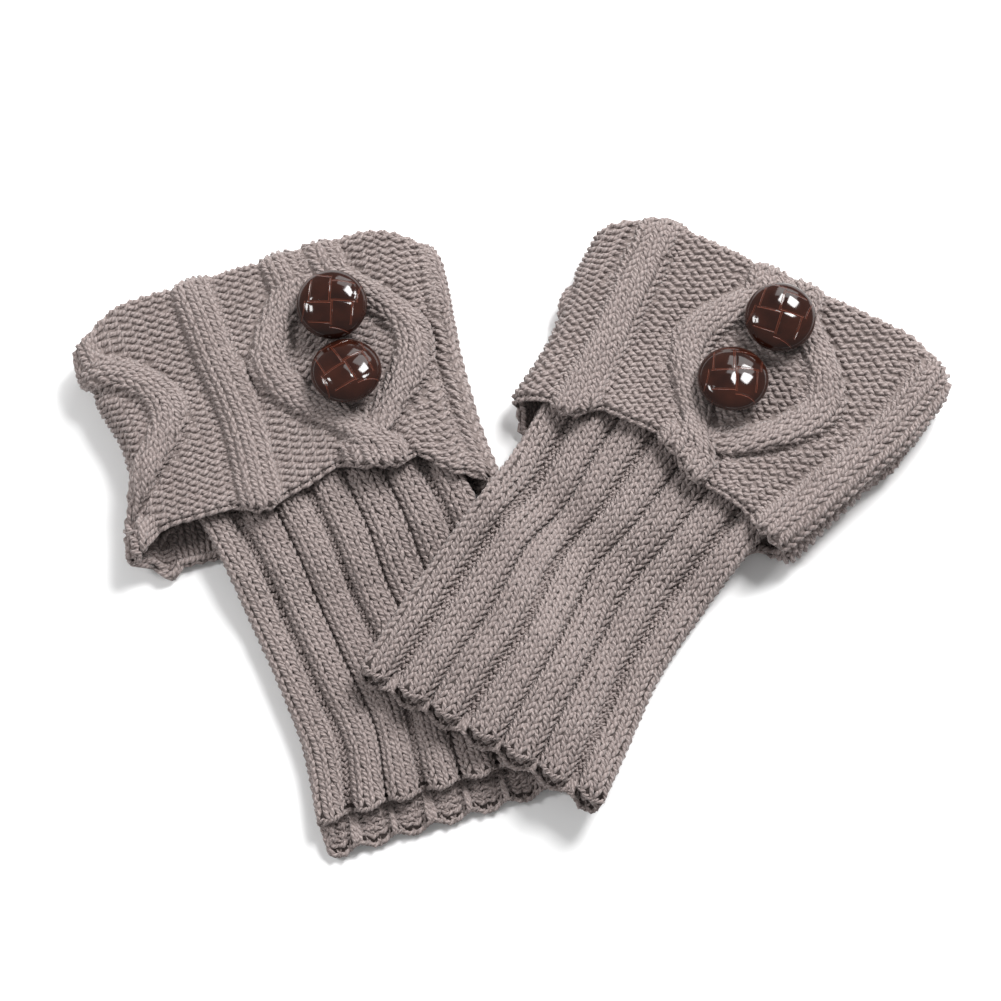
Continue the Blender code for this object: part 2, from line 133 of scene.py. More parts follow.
RIGHT = Cuff(
    name="right", origin=(-8.5, -68.2), turn=-29.5, fold=177.0, fold_slope=0.05,
    leg_hem_front=0.5, leg_hem_back=-2.5,
    leg=(
        Section(along=0, left=-45, right=44),
        Section(along=20, left=-44, right=42),
        Section(along=44, left=-42, right=40),
        Section(along=70, left=-39, right=42),
        Section(along=90, left=-38, right=45, bottom=LEG_RISE),
        Section(along=104, left=-38, right=48, bottom=LEG_RISE),
        Section(along=130, left=-38, right=58, bottom=LEG_RISE),
        Section(along=180, left=-43, right=69, bottom=LEG_RISE),
    ),
    band=(
        Section(along=94, left=-44, right=50, height=BAND_HEIGHT),
        Section(along=112, left=-45, right=58.5, height=BAND_HEIGHT),
        Section(along=132, left=-46.5, right=67.5, height=BAND_HEIGHT),
        Section(along=156, left=-49.5, right=75, height=BAND_HEIGHT),
        Section(along=180, left=-50.5, right=77, height=BAND_HEIGHT),
    ),
    cables=(
        Cable("rope", at_hem=0.094, at_fold=0.080),
        Cable("diamond", at_hem=0.276, at_fold=0.252),
        Cable("rope", at_hem=0.445, at_fold=0.469),
        Cable("diamond", at_hem=0.605, at_fold=0.605),
        Cable("rope", at_hem=0.745, at_fold=0.745),
        Cable("diamond", at_hem=0.872, at_fold=0.872),
    ),
    band_hem=(
        HemPlace(share=0.00, along=101),
        HemPlace(share=0.08, along=106),
        HemPlace(share=0.14, along=111),
        HemPlace(share=0.24, along=113),
        HemPlace(share=0.34, along=105),
        HemPlace(share=0.44, along=103),
        HemPlace(share=0.50, along=98),
        HemPlace(share=0.75, along=96),
        HemPlace(share=0.96, along=94),
    ),
)
CUFFS = (LEFT, RIGHT)
for cuff in CUFFS:
    low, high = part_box(cuff.name + "_band")
    print(cuff.name, "band spans", [round((b - a) / MM, 1) for a, b in zip(low, high)], "mm")


# %% [markdown]
# ## Walking over the cloth
# These functions turn shares and walked distances into places. They take whole arrays,
# so that a hundred thousand points of yarn cost no more than a moment.

# %% Places on a flattened tube
def soft_step(x):
    """0 below 0, 1 above 1, and an S between."""
    x = np.clip(x, 0.0, 1.0)
    return x * x * (3.0 - 2.0 * x)


def way_round(share, place):
    """Shortest way round from a place, negative to its left."""
    return (share - place + 0.5) % 1.0 - 0.5


def read_sections(rows, along):
    """Left, right, bottom and height at each distance, with no overshoot."""
    places = np.array([row.along for row in rows], float)
    along = np.clip(along, places[0], places[-1])
    after = np.clip(np.searchsorted(places, along), 1, len(rows) - 1)
    before = after - 1
    span = places[after] - places[before]
    t = (along - places[before]) / span
    columns = []
    for column in Section._fields[1:]:
        numbers = np.array([getattr(row, column) for row in rows], float)
        runs = np.diff(numbers) / np.diff(places)
        same_way = runs[:-1] * runs[1:] > 0
        sums = np.where(same_way, runs[:-1] + runs[1:], 1.0)
        inner = np.where(same_way, 2 * runs[:-1] * runs[1:] / sums, 0.0)
        slopes = np.concatenate((runs[:1], inner, runs[-1:]))
        columns.append((2 * t**3 - 3 * t**2 + 1) * numbers[before]
                       + (t**3 - 2 * t**2 + t) * span * slopes[before]
                       + (3 * t**2 - 2 * t**3) * numbers[after]
                       + (t**3 - t**2) * span * slopes[after])
    return columns


def round_the_tube(section, share):
    """Across, up and facing (1 front, -1 back) on the middle of the cloth."""
    left, right, bottom, height = section
    radius = (height - WALL) / 2
    quarter = math.pi * radius / 2
    start, end = left + height / 2, right - height / 2
    straight = end - start
    middle = bottom + height / 2
    walked = (share % 1.0) * (2 * straight + 4 * quarter)
    first = walked < quarter
    front = ~first & (walked < quarter + straight)
    side = ~first & ~front & (walked < 3 * quarter + straight)
    back = ~first & ~front & ~side & (walked < 3 * quarter + 2 * straight)
    left_angle = np.where(first, walked, walked - 4 * quarter - 2 * straight) / radius
    right_angle = math.pi / 2 - (walked - quarter - straight) / radius
    across = np.select((front, side, back),
                       (start + walked - quarter, end + radius * np.cos(right_angle),
                        end - (walked - 3 * quarter - straight)),
                       start - radius * np.cos(left_angle))
    facing = np.select((front, side, back),
                       (1.0 + 0 * walked, np.sin(right_angle), -1.0 + 0 * walked),
                       np.sin(left_angle))
    return across, middle + radius * facing, facing


def to_surface(cuff, across, along):
    """From the cuff's own frame to the surface that the pair lies on."""
    turn = math.radians(cuff.turn)
    return (cuff.origin[0] + across * math.cos(turn) - along * math.sin(turn),
            cuff.origin[1] + across * math.sin(turn) + along * math.cos(turn))


def lift(cuff, x, y):
    """How far the right cuff is raised where it lies on the left cuff's leg."""
    if cuff is LEFT:
        return 0.0 * x
    turn = math.radians(LEFT.turn)
    dx, dy = x - LEFT.origin[0], y - LEFT.origin[1]
    across = dx * math.cos(turn) + dy * math.sin(turn)
    along = dy * math.cos(turn) - dx * math.sin(turn)
    left, right, bottom, height = read_sections(LEFT.leg, along)
    top = bottom + height + RIB_CROWN + REST_GAP
    beside = 1.0 - soft_step((across - right - 1.0) / RAMP)
    below = 1.0 - soft_step((HEM_RAMP_START - along) / RAMP)
    return top * beside * below


def rounded_along(cuff, section, across, along):
    """Along, lowered towards the sides so that the fold has rounded corners."""
    nearness = soft_step(1.0 - (cuff.fold - along) / CORNER_FADE)
    side_distance = np.minimum(across - section[0], section[1] - across)
    corner = np.maximum(0.0, 1.0 - side_distance / CORNER_REACH)
    return along + nearness * (cuff.fold_slope * across - CORNER_DROP * corner**2)


def hem_shift(along, middle, wanted):
    """Along, moved near a hem so that the cloth ends at the wanted place."""
    return along + (wanted - middle) * soft_step(1.0 - (along - middle) / HEM_FADE)


def placed(cuff, across, along, up):
    """Places in the room, in millimetres."""
    x, y = to_surface(cuff, across, along)
    return np.stack((x, y, up + lift(cuff, x, y)), axis=-1)


def leg_length(cuff):
    """Cloth from the seam inside the mouth to the leg's hem."""
    return cuff.fold - LAP - SEAM_GAP


Sway = namedtuple("Sway", "cuff share along round_reach along_reach move")
SWAYS = (   # where the ribs wander sideways; the same on the side that isn't seen
    Sway("right", share=0.27, along=66, round_reach=0.13, along_reach=13, move=-3.0),
    Sway("right", share=0.20, along=34, round_reach=0.12, along_reach=15, move=2.0),
    Sway("right", share=0.12, along=78, round_reach=0.08, along_reach=12, move=1.6),
    Sway("right", share=0.76, along=52, round_reach=0.14, along_reach=14, move=2.6),
    Sway("left", share=0.10, along=22, round_reach=0.08, along_reach=16, move=1.8),
    Sway("left", share=0.28, along=74, round_reach=0.10, along_reach=16, move=-1.8),
    Sway("left", share=0.22, along=38, round_reach=0.08, along_reach=12, move=1.2),
    Sway("left", share=0.72, along=48, round_reach=0.12, along_reach=15, move=-2.4),
)


def swayed(cuff, share, along, girth):
    """Share, moved sideways where the ribs wander."""
    moved = 0.0 * share
    for sway in SWAYS:
        if sway.cuff == cuff.name:
            off = way_round(share, sway.share) / sway.round_reach
            moved += sway.move * np.exp(-off**2 - ((along - sway.along) / sway.along_reach) ** 2)
    return share + moved / girth


def leg_middle(cuff, share, walked):
    """Places on the middle of the leg's cloth, walked from its seam to its hem."""
    along = leg_length(cuff) - walked
    section = read_sections(cuff.leg, along)
    share = swayed(cuff, share, along, 2 * (section[1] - section[0]))
    across, up, facing = round_the_tube(section, share)
    front = soft_step((facing + 1) / 2)
    hem = cuff.leg_hem_back + (cuff.leg_hem_front - cuff.leg_hem_back) * front
    hem = hem + HEM_SCALLOP * np.cos(2 * math.pi * RIBS * share) / 2
    along = hem_shift(along, 0.0, hem)
    return placed(cuff, across, rounded_along(cuff, section, across, along), up)


print("left leg's hem, front middle:", leg_middle(LEFT, np.array([0.25]), leg_length(LEFT)))

# %% [markdown]
# ## Where the cables run
# The band has three straight ropes and three diamonds. A diamond is two ropes that
# part below the fold, meet again above the hem and cross there. One formula gives the
# distance from the diamond's middle to a rope, and its sign changes at the crossing.

# %% Cable paths
ROPE_HALF_WIDTH = 6.3      # half of three knit columns
ROPE_RELIEF = 3.0          # height of a rope above the purl ground
ROPE_TROUGH = 0.9          # how far the ground sinks along a rope's two sides
ROPE_SQUARENESS = 2.2      # a rope's section: how late it falls from its middle,
ROPE_FULLNESS = 0.7        # and how steeply it meets the ground
TROUGH_PLACE = 1.25        # a trough's middle, in half widths of a rope from its middle
TROUGH_WIDTH = 0.3         # in the same measure
TROUGH_END = 0.8           # height of a rope at which the trough has gone
CROSSING_RELIEF = 1.3      # how much higher the ropes are where they cross
Diamond = namedtuple("Diamond", "half_width skew rounding")   # skew moves its widest place
DIAMONDS = {"left": Diamond(22.8, skew=1.7, rounding=0.3),
            "right": Diamond(22.6, skew=3.6, rounding=0.55)}
DIAMOND_CENTRE = 0.55      # the widest place, from hem 0 to fold 1
DIAMOND_REACH = 0.425      # from there to each crossing
CROSSED_SPREAD = -3.2      # the ropes' ends below the crossing
FOLD_SPREAD = 6.3          # the ropes side by side at the fold
RopePath = namedtuple("RopePath", "middle over crossing")


def band_length(cuff):
    """Cloth from the seam inside the mouth, over the fold, to the band's hem."""
    return LAP + math.pi * FOLD_RADIUS + cuff.fold - BAND_HEM


def height_share(cuff, walked):
    """0 at the band's hem and 1 at the fold."""
    fall = cuff.fold - BAND_HEM
    return 1.0 - np.maximum(walked - LAP - math.pi * FOLD_RADIUS, 0.0) / fall


def band_girth(cuff, walked):
    """Length round the band, by which distances become shares."""
    along = BAND_HEM + height_share(cuff, walked) * (cuff.fold - BAND_HEM)
    left, right = read_sections(cuff.band, along)[:2]
    return 2 * (right - left)


def rope_paths(cuff, walked):
    """Every rope's middle, as a share, and how near each pair is to crossing."""
    height = height_share(cuff, walked)
    girth = band_girth(cuff, walked)
    paths = []
    for cable in cuff.cables:
        middle = cable.at_hem + (cable.at_fold - cable.at_hem) * height
        if cable.kind == "rope":
            paths.append(RopePath(middle, 0, 0.0 * height))
            continue
        shape = DIAMONDS[cuff.name]
        from_widest = np.abs(height - DIAMOND_CENTRE) / DIAMOND_REACH
        fall = np.hypot(from_widest, shape.rounding) - shape.rounding
        width = 1.0 - fall / (math.hypot(1.0, shape.rounding) - shape.rounding)
        middle = middle + shape.skew * np.maximum(width, 0.0) / girth
        spread = shape.half_width * width
        least = np.where(height > DIAMOND_CENTRE, FOLD_SPREAD, CROSSED_SPREAD)
        spread = np.maximum(spread, least)
        crossing = soft_step(1.0 - np.abs(spread) / ROPE_HALF_WIDTH)
        crossing = np.where(height > DIAMOND_CENTRE, 0.0, crossing)
        for side in (-1, 1):
            paths.append(RopePath(middle + side * spread / girth, -side, crossing))
    return paths


def rope_height(cuff, share, walked):
    """Height of the ropes above the purl ground, with a dip along their edges."""
    girth = band_girth(cuff, walked)
    height = 0.0 * share
    dip = 0.0 * share
    for path in rope_paths(cuff, walked):
        away = np.abs(way_round(share, path.middle)) * girth / ROPE_HALF_WIDTH
        ridge = (1.0 - np.minimum(away, 1.0) ** ROPE_SQUARENESS) ** ROPE_FULLNESS
        height = np.maximum(height, ridge * (ROPE_RELIEF + CROSSING_RELIEF * path.crossing))
        dip = np.maximum(dip, np.exp(-((away - TROUGH_PLACE) / TROUGH_WIDTH) ** 2))
    return height - ROPE_TROUGH * dip * (1.0 - soft_step(height / TROUGH_END))


def band_middle(cuff, share, walked):
    """Places on the middle of the band's cloth, walked from its seam to its hem."""
    arc = math.pi * FOLD_RADIUS
    angle = np.clip((walked - LAP) / FOLD_RADIUS, 0.0, math.pi)
    along = (cuff.fold - LAP + np.minimum(walked, LAP) + FOLD_RADIUS * np.sin(angle)
             - np.maximum(walked - LAP - arc, 0.0))
    turned = (1.0 - np.cos(angle)) / 2
    inner = read_sections(cuff.leg, along)
    outer = read_sections(cuff.band, along)
    inner_across, inner_up, facing = round_the_tube(inner, share)
    outer_across, outer_up, facing = round_the_tube(outer, share)
    across = inner_across + (outer_across - inner_across) * turned
    up = inner_up + (outer_up - inner_up) * turned
    section = [a + (b - a) * turned for a, b in zip(inner, outer)]
    along = rounded_along(cuff, section, across, along)
    rows = cuff.band_hem + (HemPlace(1.0, cuff.band_hem[0].along),)
    shares = np.array([row.share for row in rows])
    hems = np.array([row.along for row in rows], float)
    place = share % 1.0
    after = np.clip(np.searchsorted(shares, place), 1, len(rows) - 1)
    way = soft_step((place - shares[after - 1]) / (shares[after] - shares[after - 1]))
    hem = hems[after - 1] + (hems[after] - hems[after - 1]) * way
    reach = ROPE_HEM_REACH * np.clip(rope_height(cuff, share, walked) / ROPE_RELIEF, 0, 1)
    shifted = hem_shift(along, BAND_HEM, hem - reach)
    along = np.where(walked > LAP + arc, shifted, along)
    return placed(cuff, across, along, up)


TINY_WALK = 0.3            # steps to both sides that give the cloth's slope
TINY_SHARE = 0.0012


def off_the_cloth(middle, cuff, share, walked, out):
    """Places in metres, off the middle of the cloth by a distance out of its face."""
    around = middle(cuff, share + TINY_SHARE, walked) - middle(cuff, share - TINY_SHARE, walked)
    down = middle(cuff, share, walked + TINY_WALK) - middle(cuff, share, walked - TINY_WALK)
    face = np.cross(down, around)
    face /= np.linalg.norm(face, axis=-1, keepdims=True)
    return (middle(cuff, share, walked) + face * np.asarray(out)[..., None]) * MM, face


print("band's cloth:", [round(band_length(cuff), 1) for cuff in CUFFS], "mm from seam to hem")

# %% [markdown]
# ## The ground under the stitches
# Between loops of yarn one sees more yarn, in shade. A thin shell along the middle of
# the cloth stands for that depth and keeps light from shining through.


# %% Thin shells on the solids' form
def in_the_scene(name, data):
    """An object at the origin, with its mesh, light or camera."""
    made = bpy.data.objects.new(name, data)
    bpy.context.scene.collection.objects.link(made)
    return made


def mesh_object(name, points, faces):
    """A smooth piece at the origin, from points in metres."""
    mesh = bpy.data.meshes.new(name)
    mesh.from_pydata(points.tolist(), [], faces)
    mesh.shade_smooth()
    return in_the_scene(name, mesh)


def strip_corners(rings, around):
    """Two neighbouring corners of every face of a stack of rings, on its first ring."""
    ring, step = np.meshgrid(np.arange(rings - 1), np.arange(around), indexing="ij")
    return (ring * around + step).ravel(), (ring * around + (step + 1) % around).ravel()


def wall_faces(rings, around):
    """Faces of a closed wall: an outer stack of rings, an inner one, and two rims."""
    a, b = strip_corners(rings, around)
    inner = rings * around
    outside = np.stack((a, a + around, b + around, b), axis=1)
    inside = np.stack((a, b, b + around, a + around), axis=1) + inner
    step = np.arange(around)
    after = (step + 1) % around
    last = (rings - 1) * around
    top = np.stack((step, after, after + inner, step + inner), axis=1)
    hem = np.stack((step + inner, after + inner, after, step), axis=1) + last
    return np.concatenate((outside, inside, top, hem)).tolist()


def facing_up(middle, cuff, share, walked):
    """1 on the front, 0 on the underside, so that the underside stays flat."""
    face = off_the_cloth(middle, cuff, share, walked, 0.0 * share)[1]
    return soft_step(1.0 + 2.0 * face[..., 2])


CLOSED, OPEN = 0.025, 0.11           # half a gully, as a share of a rib
GULLIES = (CLOSED, OPEN, CLOSED, OPEN, CLOSED, CLOSED, OPEN,
           CLOSED, OPEN, CLOSED, CLOSED, OPEN, CLOSED, OPEN)
CROWN_HEIGHT = 0.9                  # of a rib above the cloth's plain face
GULLY_DEPTH = 2.5                   # of a gully below that face
RIB_SQUARENESS = 3.2                # a rib's section: how late it falls from its middle,
RIB_FULLNESS = 0.65                 # and how steeply it meets the gully
RUFFLE = 0.45                       # extra relief at the leg's hem, as a share
RUFFLE_LENGTH = 12.0                # length above the hem over which it fades
FOLD_FLATTENING = 5.0               # length over which a rope is pulled flat at the fold
FOLD_ROPE_LOSS = 0.5                # share of its height that a rope loses there
HEM_CURL = 2.4                      # how far the band's hem stands off the leg
HEM_CURL_LENGTH = 18.0              # length above the hem over which that fades
HEM_WAVES = 5                       # waves of the curl round the band
HEM_ROLL = 2.2                      # how far the last row rolls under
HEM_ROLL_LENGTH = 3.4               # length of the roll
CREASE_START = 6.0                  # length after the mouth over which creases grow


def rib_profile(share):
    """1 on a rib's crown and 0 in a gully, round along the rib's three columns."""
    rib = np.floor(share * RIBS).astype(int) % RIBS
    gullies = np.array(GULLIES)
    start, end = gullies[rib], 1.0 - gullies[(rib + 1) % RIBS]
    way = (share * RIBS % 1.0 - start) / (end - start)
    side = np.clip(np.abs(way * 2.0 - 1.0), 0.0, 1.0)
    return (1.0 - side**RIB_SQUARENESS) ** RIB_FULLNESS


CREASE_HALF = 0.45                  # where a crease fades, as a share of its length
Crease = namedtuple("Crease", "cloth start end width height")   # ends are (share, along)
CREASES = (   # soft troughs (-) and ridges (+) of the front, the sides and the underside
    Crease("left_band", (0.462, 182), (0.474, 118), width=2.6, height=-2.0),
    Crease("left_band", (0.110, 176), (0.150, 132), width=7.0, height=-1.4),
    Crease("left_band", (0.245, 170), (0.236, 142), width=6.0, height=0.9),
    Crease("left_band", (0.405, 128), (0.455, 150), width=5.0, height=0.9),
    Crease("left_band", (0.060, 122), (0.020, 140), width=5.0, height=1.2),
    Crease("left_band", (0.230, 120), (0.300, 132), width=4.5, height=-0.8),
    Crease("left_band", (0.640, 170), (0.720, 130), width=6.0, height=-0.9),
    Crease("left_band", (0.900, 165), (0.860, 125), width=5.0, height=-0.8),
    Crease("right_band", (0.020, 168), (0.045, 120), width=3.4, height=-1.4),
    Crease("right_band", (0.165, 170), (0.150, 128), width=6.5, height=-1.0),
    Crease("right_band", (0.330, 122), (0.400, 140), width=6.0, height=0.9),
    Crease("right_band", (0.372, 172), (0.420, 150), width=5.0, height=-0.8),
    Crease("right_band", (0.250, 116), (0.330, 124), width=4.0, height=-0.9),
    Crease("right_band", (0.660, 168), (0.700, 120), width=6.0, height=-0.9),
    Crease("right_band", (0.830, 150), (0.960, 130), width=5.0, height=-0.8),
    Crease("right_leg", (0.060, 58), (0.300, 44), width=8.0, height=-1.0),
    Crease("right_leg", (0.180, 82), (0.400, 74), width=7.0, height=0.9),
    Crease("right_leg", (0.100, 14), (0.220, 24), width=6.0, height=0.8),
    Crease("right_leg", (0.600, 60), (0.850, 44), width=8.0, height=-0.8),
    Crease("left_leg", (0.070, 30), (0.200, 48), width=7.0, height=-0.9),
    Crease("left_leg", (0.140, 84), (0.330, 78), width=6.0, height=0.8),
    Crease("left_leg", (0.250, 14), (0.420, 22), width=6.0, height=-0.8),
    Crease("left_leg", (0.620, 36), (0.800, 60), width=7.0, height=-0.8),
)


def creased(cloth, share, along, girth):
    """Height of the creases, each fading along its line and to both sides."""
    height = 0.0 * share
    for crease in CREASES:
        if crease.cloth != cloth:
            continue
        off = way_round(share, crease.start[0]) * girth
        run = ((crease.end[0] - crease.start[0]) * girth, crease.end[1] - crease.start[1])
        square = run[0] ** 2 + run[1] ** 2
        way = (off * run[0] + (along - crease.start[1]) * run[1]) / square
        aside = (off * run[1] - (along - crease.start[1]) * run[0]) / np.sqrt(square)
        fade = np.exp(-((way - 0.5) / CREASE_HALF) ** 4)
        height += crease.height * fade * np.exp(-((aside / crease.width) ** 2))
    return height


def leg_relief(cuff, share, walked):
    """Crowns and gullies of the ribs, which ruffle at the hem."""
    near_hem = soft_step(1.0 - (leg_length(cuff) - walked) / RUFFLE_LENGTH)
    profile = rib_profile(share)
    up = facing_up(leg_middle, cuff, share, walked)
    along = leg_length(cuff) - walked
    left, right = read_sections(cuff.leg, along)[:2]
    soft = creased(cuff.name + "_leg", share, along, 2 * (right - left))
    ribbed = (CROWN_HEIGHT + GULLY_DEPTH) * profile - GULLY_DEPTH
    return (ribbed * (1.0 + RUFFLE * near_hem) * up + soft * (1.0 - near_hem)
            - GULLY_DEPTH * (1.0 - profile) * near_hem * (1.0 - up))


def band_relief(cuff, share, walked):
    """The ropes' height and the hem's curl, fading inside the mouth and underneath."""
    past_fold = (walked - LAP - math.pi * FOLD_RADIUS / 2) / FOLD_FLATTENING
    raised = rope_height(cuff, share, walked) * soft_step(walked / LAP)
    raised = raised * (1.0 - FOLD_ROPE_LOSS * np.exp(-past_fold**2))
    near_hem = soft_step(1.0 - (band_length(cuff) - walked) / HEM_CURL_LENGTH)
    wave = np.cos(2 * math.pi * (HEM_WAVES * share + 0.2))
    curl = HEM_CURL * near_hem * (0.8 + 0.3 * wave)
    rolled = np.maximum(walked - band_length(cuff) + HEM_ROLL_LENGTH / 2, 0.0) / HEM_ROLL_LENGTH
    along = BAND_HEM + height_share(cuff, walked) * (cuff.fold - BAND_HEM)
    soft = creased(cuff.name + "_band", share, along, band_girth(cuff, walked))
    soft = soft * soft_step((walked - LAP) / CREASE_START)
    return ((raised + curl) * facing_up(band_middle, cuff, share, walked) + soft
            - HEM_ROLL * rolled**2)


SHELL_OUT, SHELL_IN = 0.3, -0.3     # faces of the shell, off the middle of the cloth
LEG_SHELL_SHORT = 0.3               # the shells end short of the last loops
BAND_SHELL_SHORT = 0.8
BAND_SHELL_START = 0.6              # and a band's starts past its seam


def add_shell(name, middle, relief, cuff, start, end, around, lengths):
    """A closed thin shell that follows the cloth and its relief."""
    share = np.arange(around) / around
    walked = np.linspace(start, end, lengths + 1)
    walked, share = np.meshgrid(walked, share, indexing="ij")
    raised = relief(cuff, share, walked)
    outer = off_the_cloth(middle, cuff, share, walked, raised + SHELL_OUT)[0]
    inner = off_the_cloth(middle, cuff, share, walked, raised + SHELL_IN)[0]
    points = np.concatenate((outer.reshape(-1, 3), inner.reshape(-1, 3)))
    return mesh_object(name, points, wall_faces(lengths + 1, around))


shells = {}
for cuff in CUFFS:
    shells[cuff.name + "_leg"] = add_shell(
        cuff.name + "_leg_ground", leg_middle, leg_relief, cuff,
        0.0, leg_length(cuff) - LEG_SHELL_SHORT, around=140, lengths=34)
    shells[cuff.name + "_band"] = add_shell(
        cuff.name + "_band_ground", band_middle, band_relief, cuff,
        BAND_SHELL_START, band_length(cuff) - BAND_SHELL_SHORT, around=150, lengths=36)
print("shells:", {name: len(shell.data.polygons) for name, shell in shells.items()})

# %% [markdown]
# ## One course of knitting
# A course is one strand that makes a row of loops. Each loop starts low at a stitch's
# edge, climbs, passes over the top and comes down again. On a knit stitch the two legs
# show in front as a V and the top and bottom arcs lie behind. A purl stitch is the same
# loop seen from behind, so its arcs show as bumps. One formula draws both: only the
# sign of its depth differs, and it changes sides half way between two stitches.

# %% The loop
LOOP_POINTS = 8            # points on one stitch's strand
Look = namedtuple("Look", "reach lean depth flat")   # half height in rows, V shape, depth
KNIT = Look(reach=0.98, lean=2.10, depth=0.62, flat=0.0)
PURL = Look(reach=0.75, lean=1.60, depth=0.80, flat=0.5)   # flat makes its arcs level bars
COLUMN_DIP = 0.45          # how far a knit column's sides sink below its middle
PURL_DIP = 0.25            # how far a purl bar's two ends sink
Uneven = namedtuple("Uneven", "reach up aside out")   # by how much hand knitting varies
UNEVEN = Uneven(reach=0.05, up=0.09, aside=0.03, out=0.06)
Stitches = namedtuple("Stitches", "left right walked kind slope lift pitch")


def strand(cuff, middle, relief, rows):
    """Points in metres of every course, and the loops' joins as edges."""
    left, right, kind, slope, raised = (
        np.concatenate([getattr(row, name) for row in rows])
        for name in ("left", "right", "kind", "slope", "lift"))
    before, after = (np.concatenate([np.roll(row.kind, by) for row in rows]) for by in (1, -1))
    walked, pitch = (
        np.concatenate([np.full(len(row.left), getattr(row, name)) for row in rows])[:, None]
        for name in ("walked", "pitch"))
    count = len(kind)
    way = np.arange(LOOP_POINTS)[None, :] / LOOP_POINTS
    turn = way * 2 * math.pi
    side = np.abs(way - 0.5) * 2
    neighbour = np.where(way < 0.5, before[:, None], after[:, None])
    face = kind[:, None] + (neighbour - kind[:, None]) / 2 * side**3
    knit = (face + 1) / 2
    reach, lean, depth, flat = (low + (high - low) * knit for low, high in zip(PURL, KNIT))
    rise = -np.sign(np.cos(turn)) * np.abs(np.cos(turn)) ** (1.0 - flat)
    width = (right - left)[:, None]
    uneven = chance.normal(0.0, 1.0, (count, 4))
    up = (rise * reach * pitch * (1 + UNEVEN.reach * uneven[:, :1])
          + UNEVEN.up * uneven[:, 1:2])
    place = way + lean * np.sin(2 * turn) / (2 * math.pi)
    share = (left[:, None] + width * (place + UNEVEN.aside * uneven[:, 2:3])
             + slope[:, None] * up)
    dip = COLUMN_DIP * knit * np.minimum(np.abs(place - 0.5) * 2, 1.0) ** 2
    dip = dip + PURL_DIP * (1.0 - knit) * np.sin(2 * turn) ** 2
    out = (-face * depth * np.cos(2 * turn) + UNEVEN.out * uneven[:, 3:4]
           + raised[:, None] - dip)
    path = walked - up
    out = out + relief(cuff, share, path)
    points = off_the_cloth(middle, cuff, share, path, out)[0].reshape(-1, 3)
    joins, first = [], 0
    for row in rows:
        number = len(row.left) * LOOP_POINTS
        around = first + np.arange(number)
        joins.append(np.stack((around, np.roll(around, -1)), axis=1))
        first += number
    return points, np.concatenate(joins)


print("a loop:", LOOP_POINTS, "points, knit", tuple(KNIT), "and purl", tuple(PURL))

# %% [markdown]
# ## A hem's edge
# The cast-on and the bound-off edge are strands twisted round each other. Two helices
# that run along the hem, half a turn apart, look and behave like them.

# %% The twisted edge
EDGE_POINTS = 8            # points on one turn of the twist
EDGE_TWIST = 0.45          # from the edge's middle to each strand's middle
EDGE_RADIUS = 0.48         # of a strand at the leg's hem
EDGE_TURNS = 64            # turns of the twist round a hem


def twisted_edge(cuff, middle, relief, walked, behind):
    """Two strands twisted along a hem, and how far they lie behind the cloth's middle."""
    number = EDGE_TURNS * EDGE_POINTS
    share = np.arange(number) / number
    around = np.arange(number)
    points, joins = [], []
    for side in (0, 1):
        angle = 2 * math.pi * (share * EDGE_TURNS + side / 2)
        place = walked + EDGE_TWIST * np.cos(angle)
        out = EDGE_TWIST * np.sin(angle) + relief(cuff, share, np.full(number, walked)) - behind
        points.append(off_the_cloth(middle, cuff, share, place, out)[0])
        joins.append(np.stack((around, np.roll(around, -1)), axis=1) + side * number)
    return np.concatenate(points), np.concatenate(joins)


print("a hem's edge:", EDGE_TURNS, "turns of two strands")

# %% [markdown]
# ## Yarn along the path
# The strand so far is a line. A small Geometry Nodes tree sweeps a round profile along
# it, as one would thread a wire into a tube. It stores how far along and how far round
# each corner is, because the ply's twist is painted in those two numbers. The profile
# closes on itself, so the last strip's zero is turned into a one.


# %% The yarn tree
class Nodes:
    """A tree's nodes, added and joined in short lines."""

    def __init__(self, tree):
        self.nodes, self.links = tree.nodes, tree.links

    def add(self, kind, inputs=(), **settings):
        """A node with its settings, and its inputs set or joined by name."""
        node = self.nodes.new(kind)
        for name, value in settings.items():
            setattr(node, name, value)
        for name, value in dict(inputs).items():
            self.join(value, node.inputs[name])
        return node

    def join(self, value, socket):
        """A socket's value, or a link into it."""
        if isinstance(value, bpy.types.NodeSocket):
            self.links.new(value, socket)
        else:
            socket.default_value = value

    def math(self, operation, first, second=0.0, third=0.0):
        """The result of a Math node."""
        return self.add("ShaderNodeMath", {0: first, 1: second, 2: third},
                        operation=operation).outputs[0]

    def captured(self, geometry, value):
        """Geometry that keeps a value at its points, and the value kept."""
        node = self.add("GeometryNodeCaptureAttribute", domain="POINT")
        node.capture_items.new("FLOAT", "kept")
        self.join(geometry, node.inputs["Geometry"])
        self.join(value, node.inputs["kept"])
        return node.outputs["Geometry"], node.outputs["kept"]


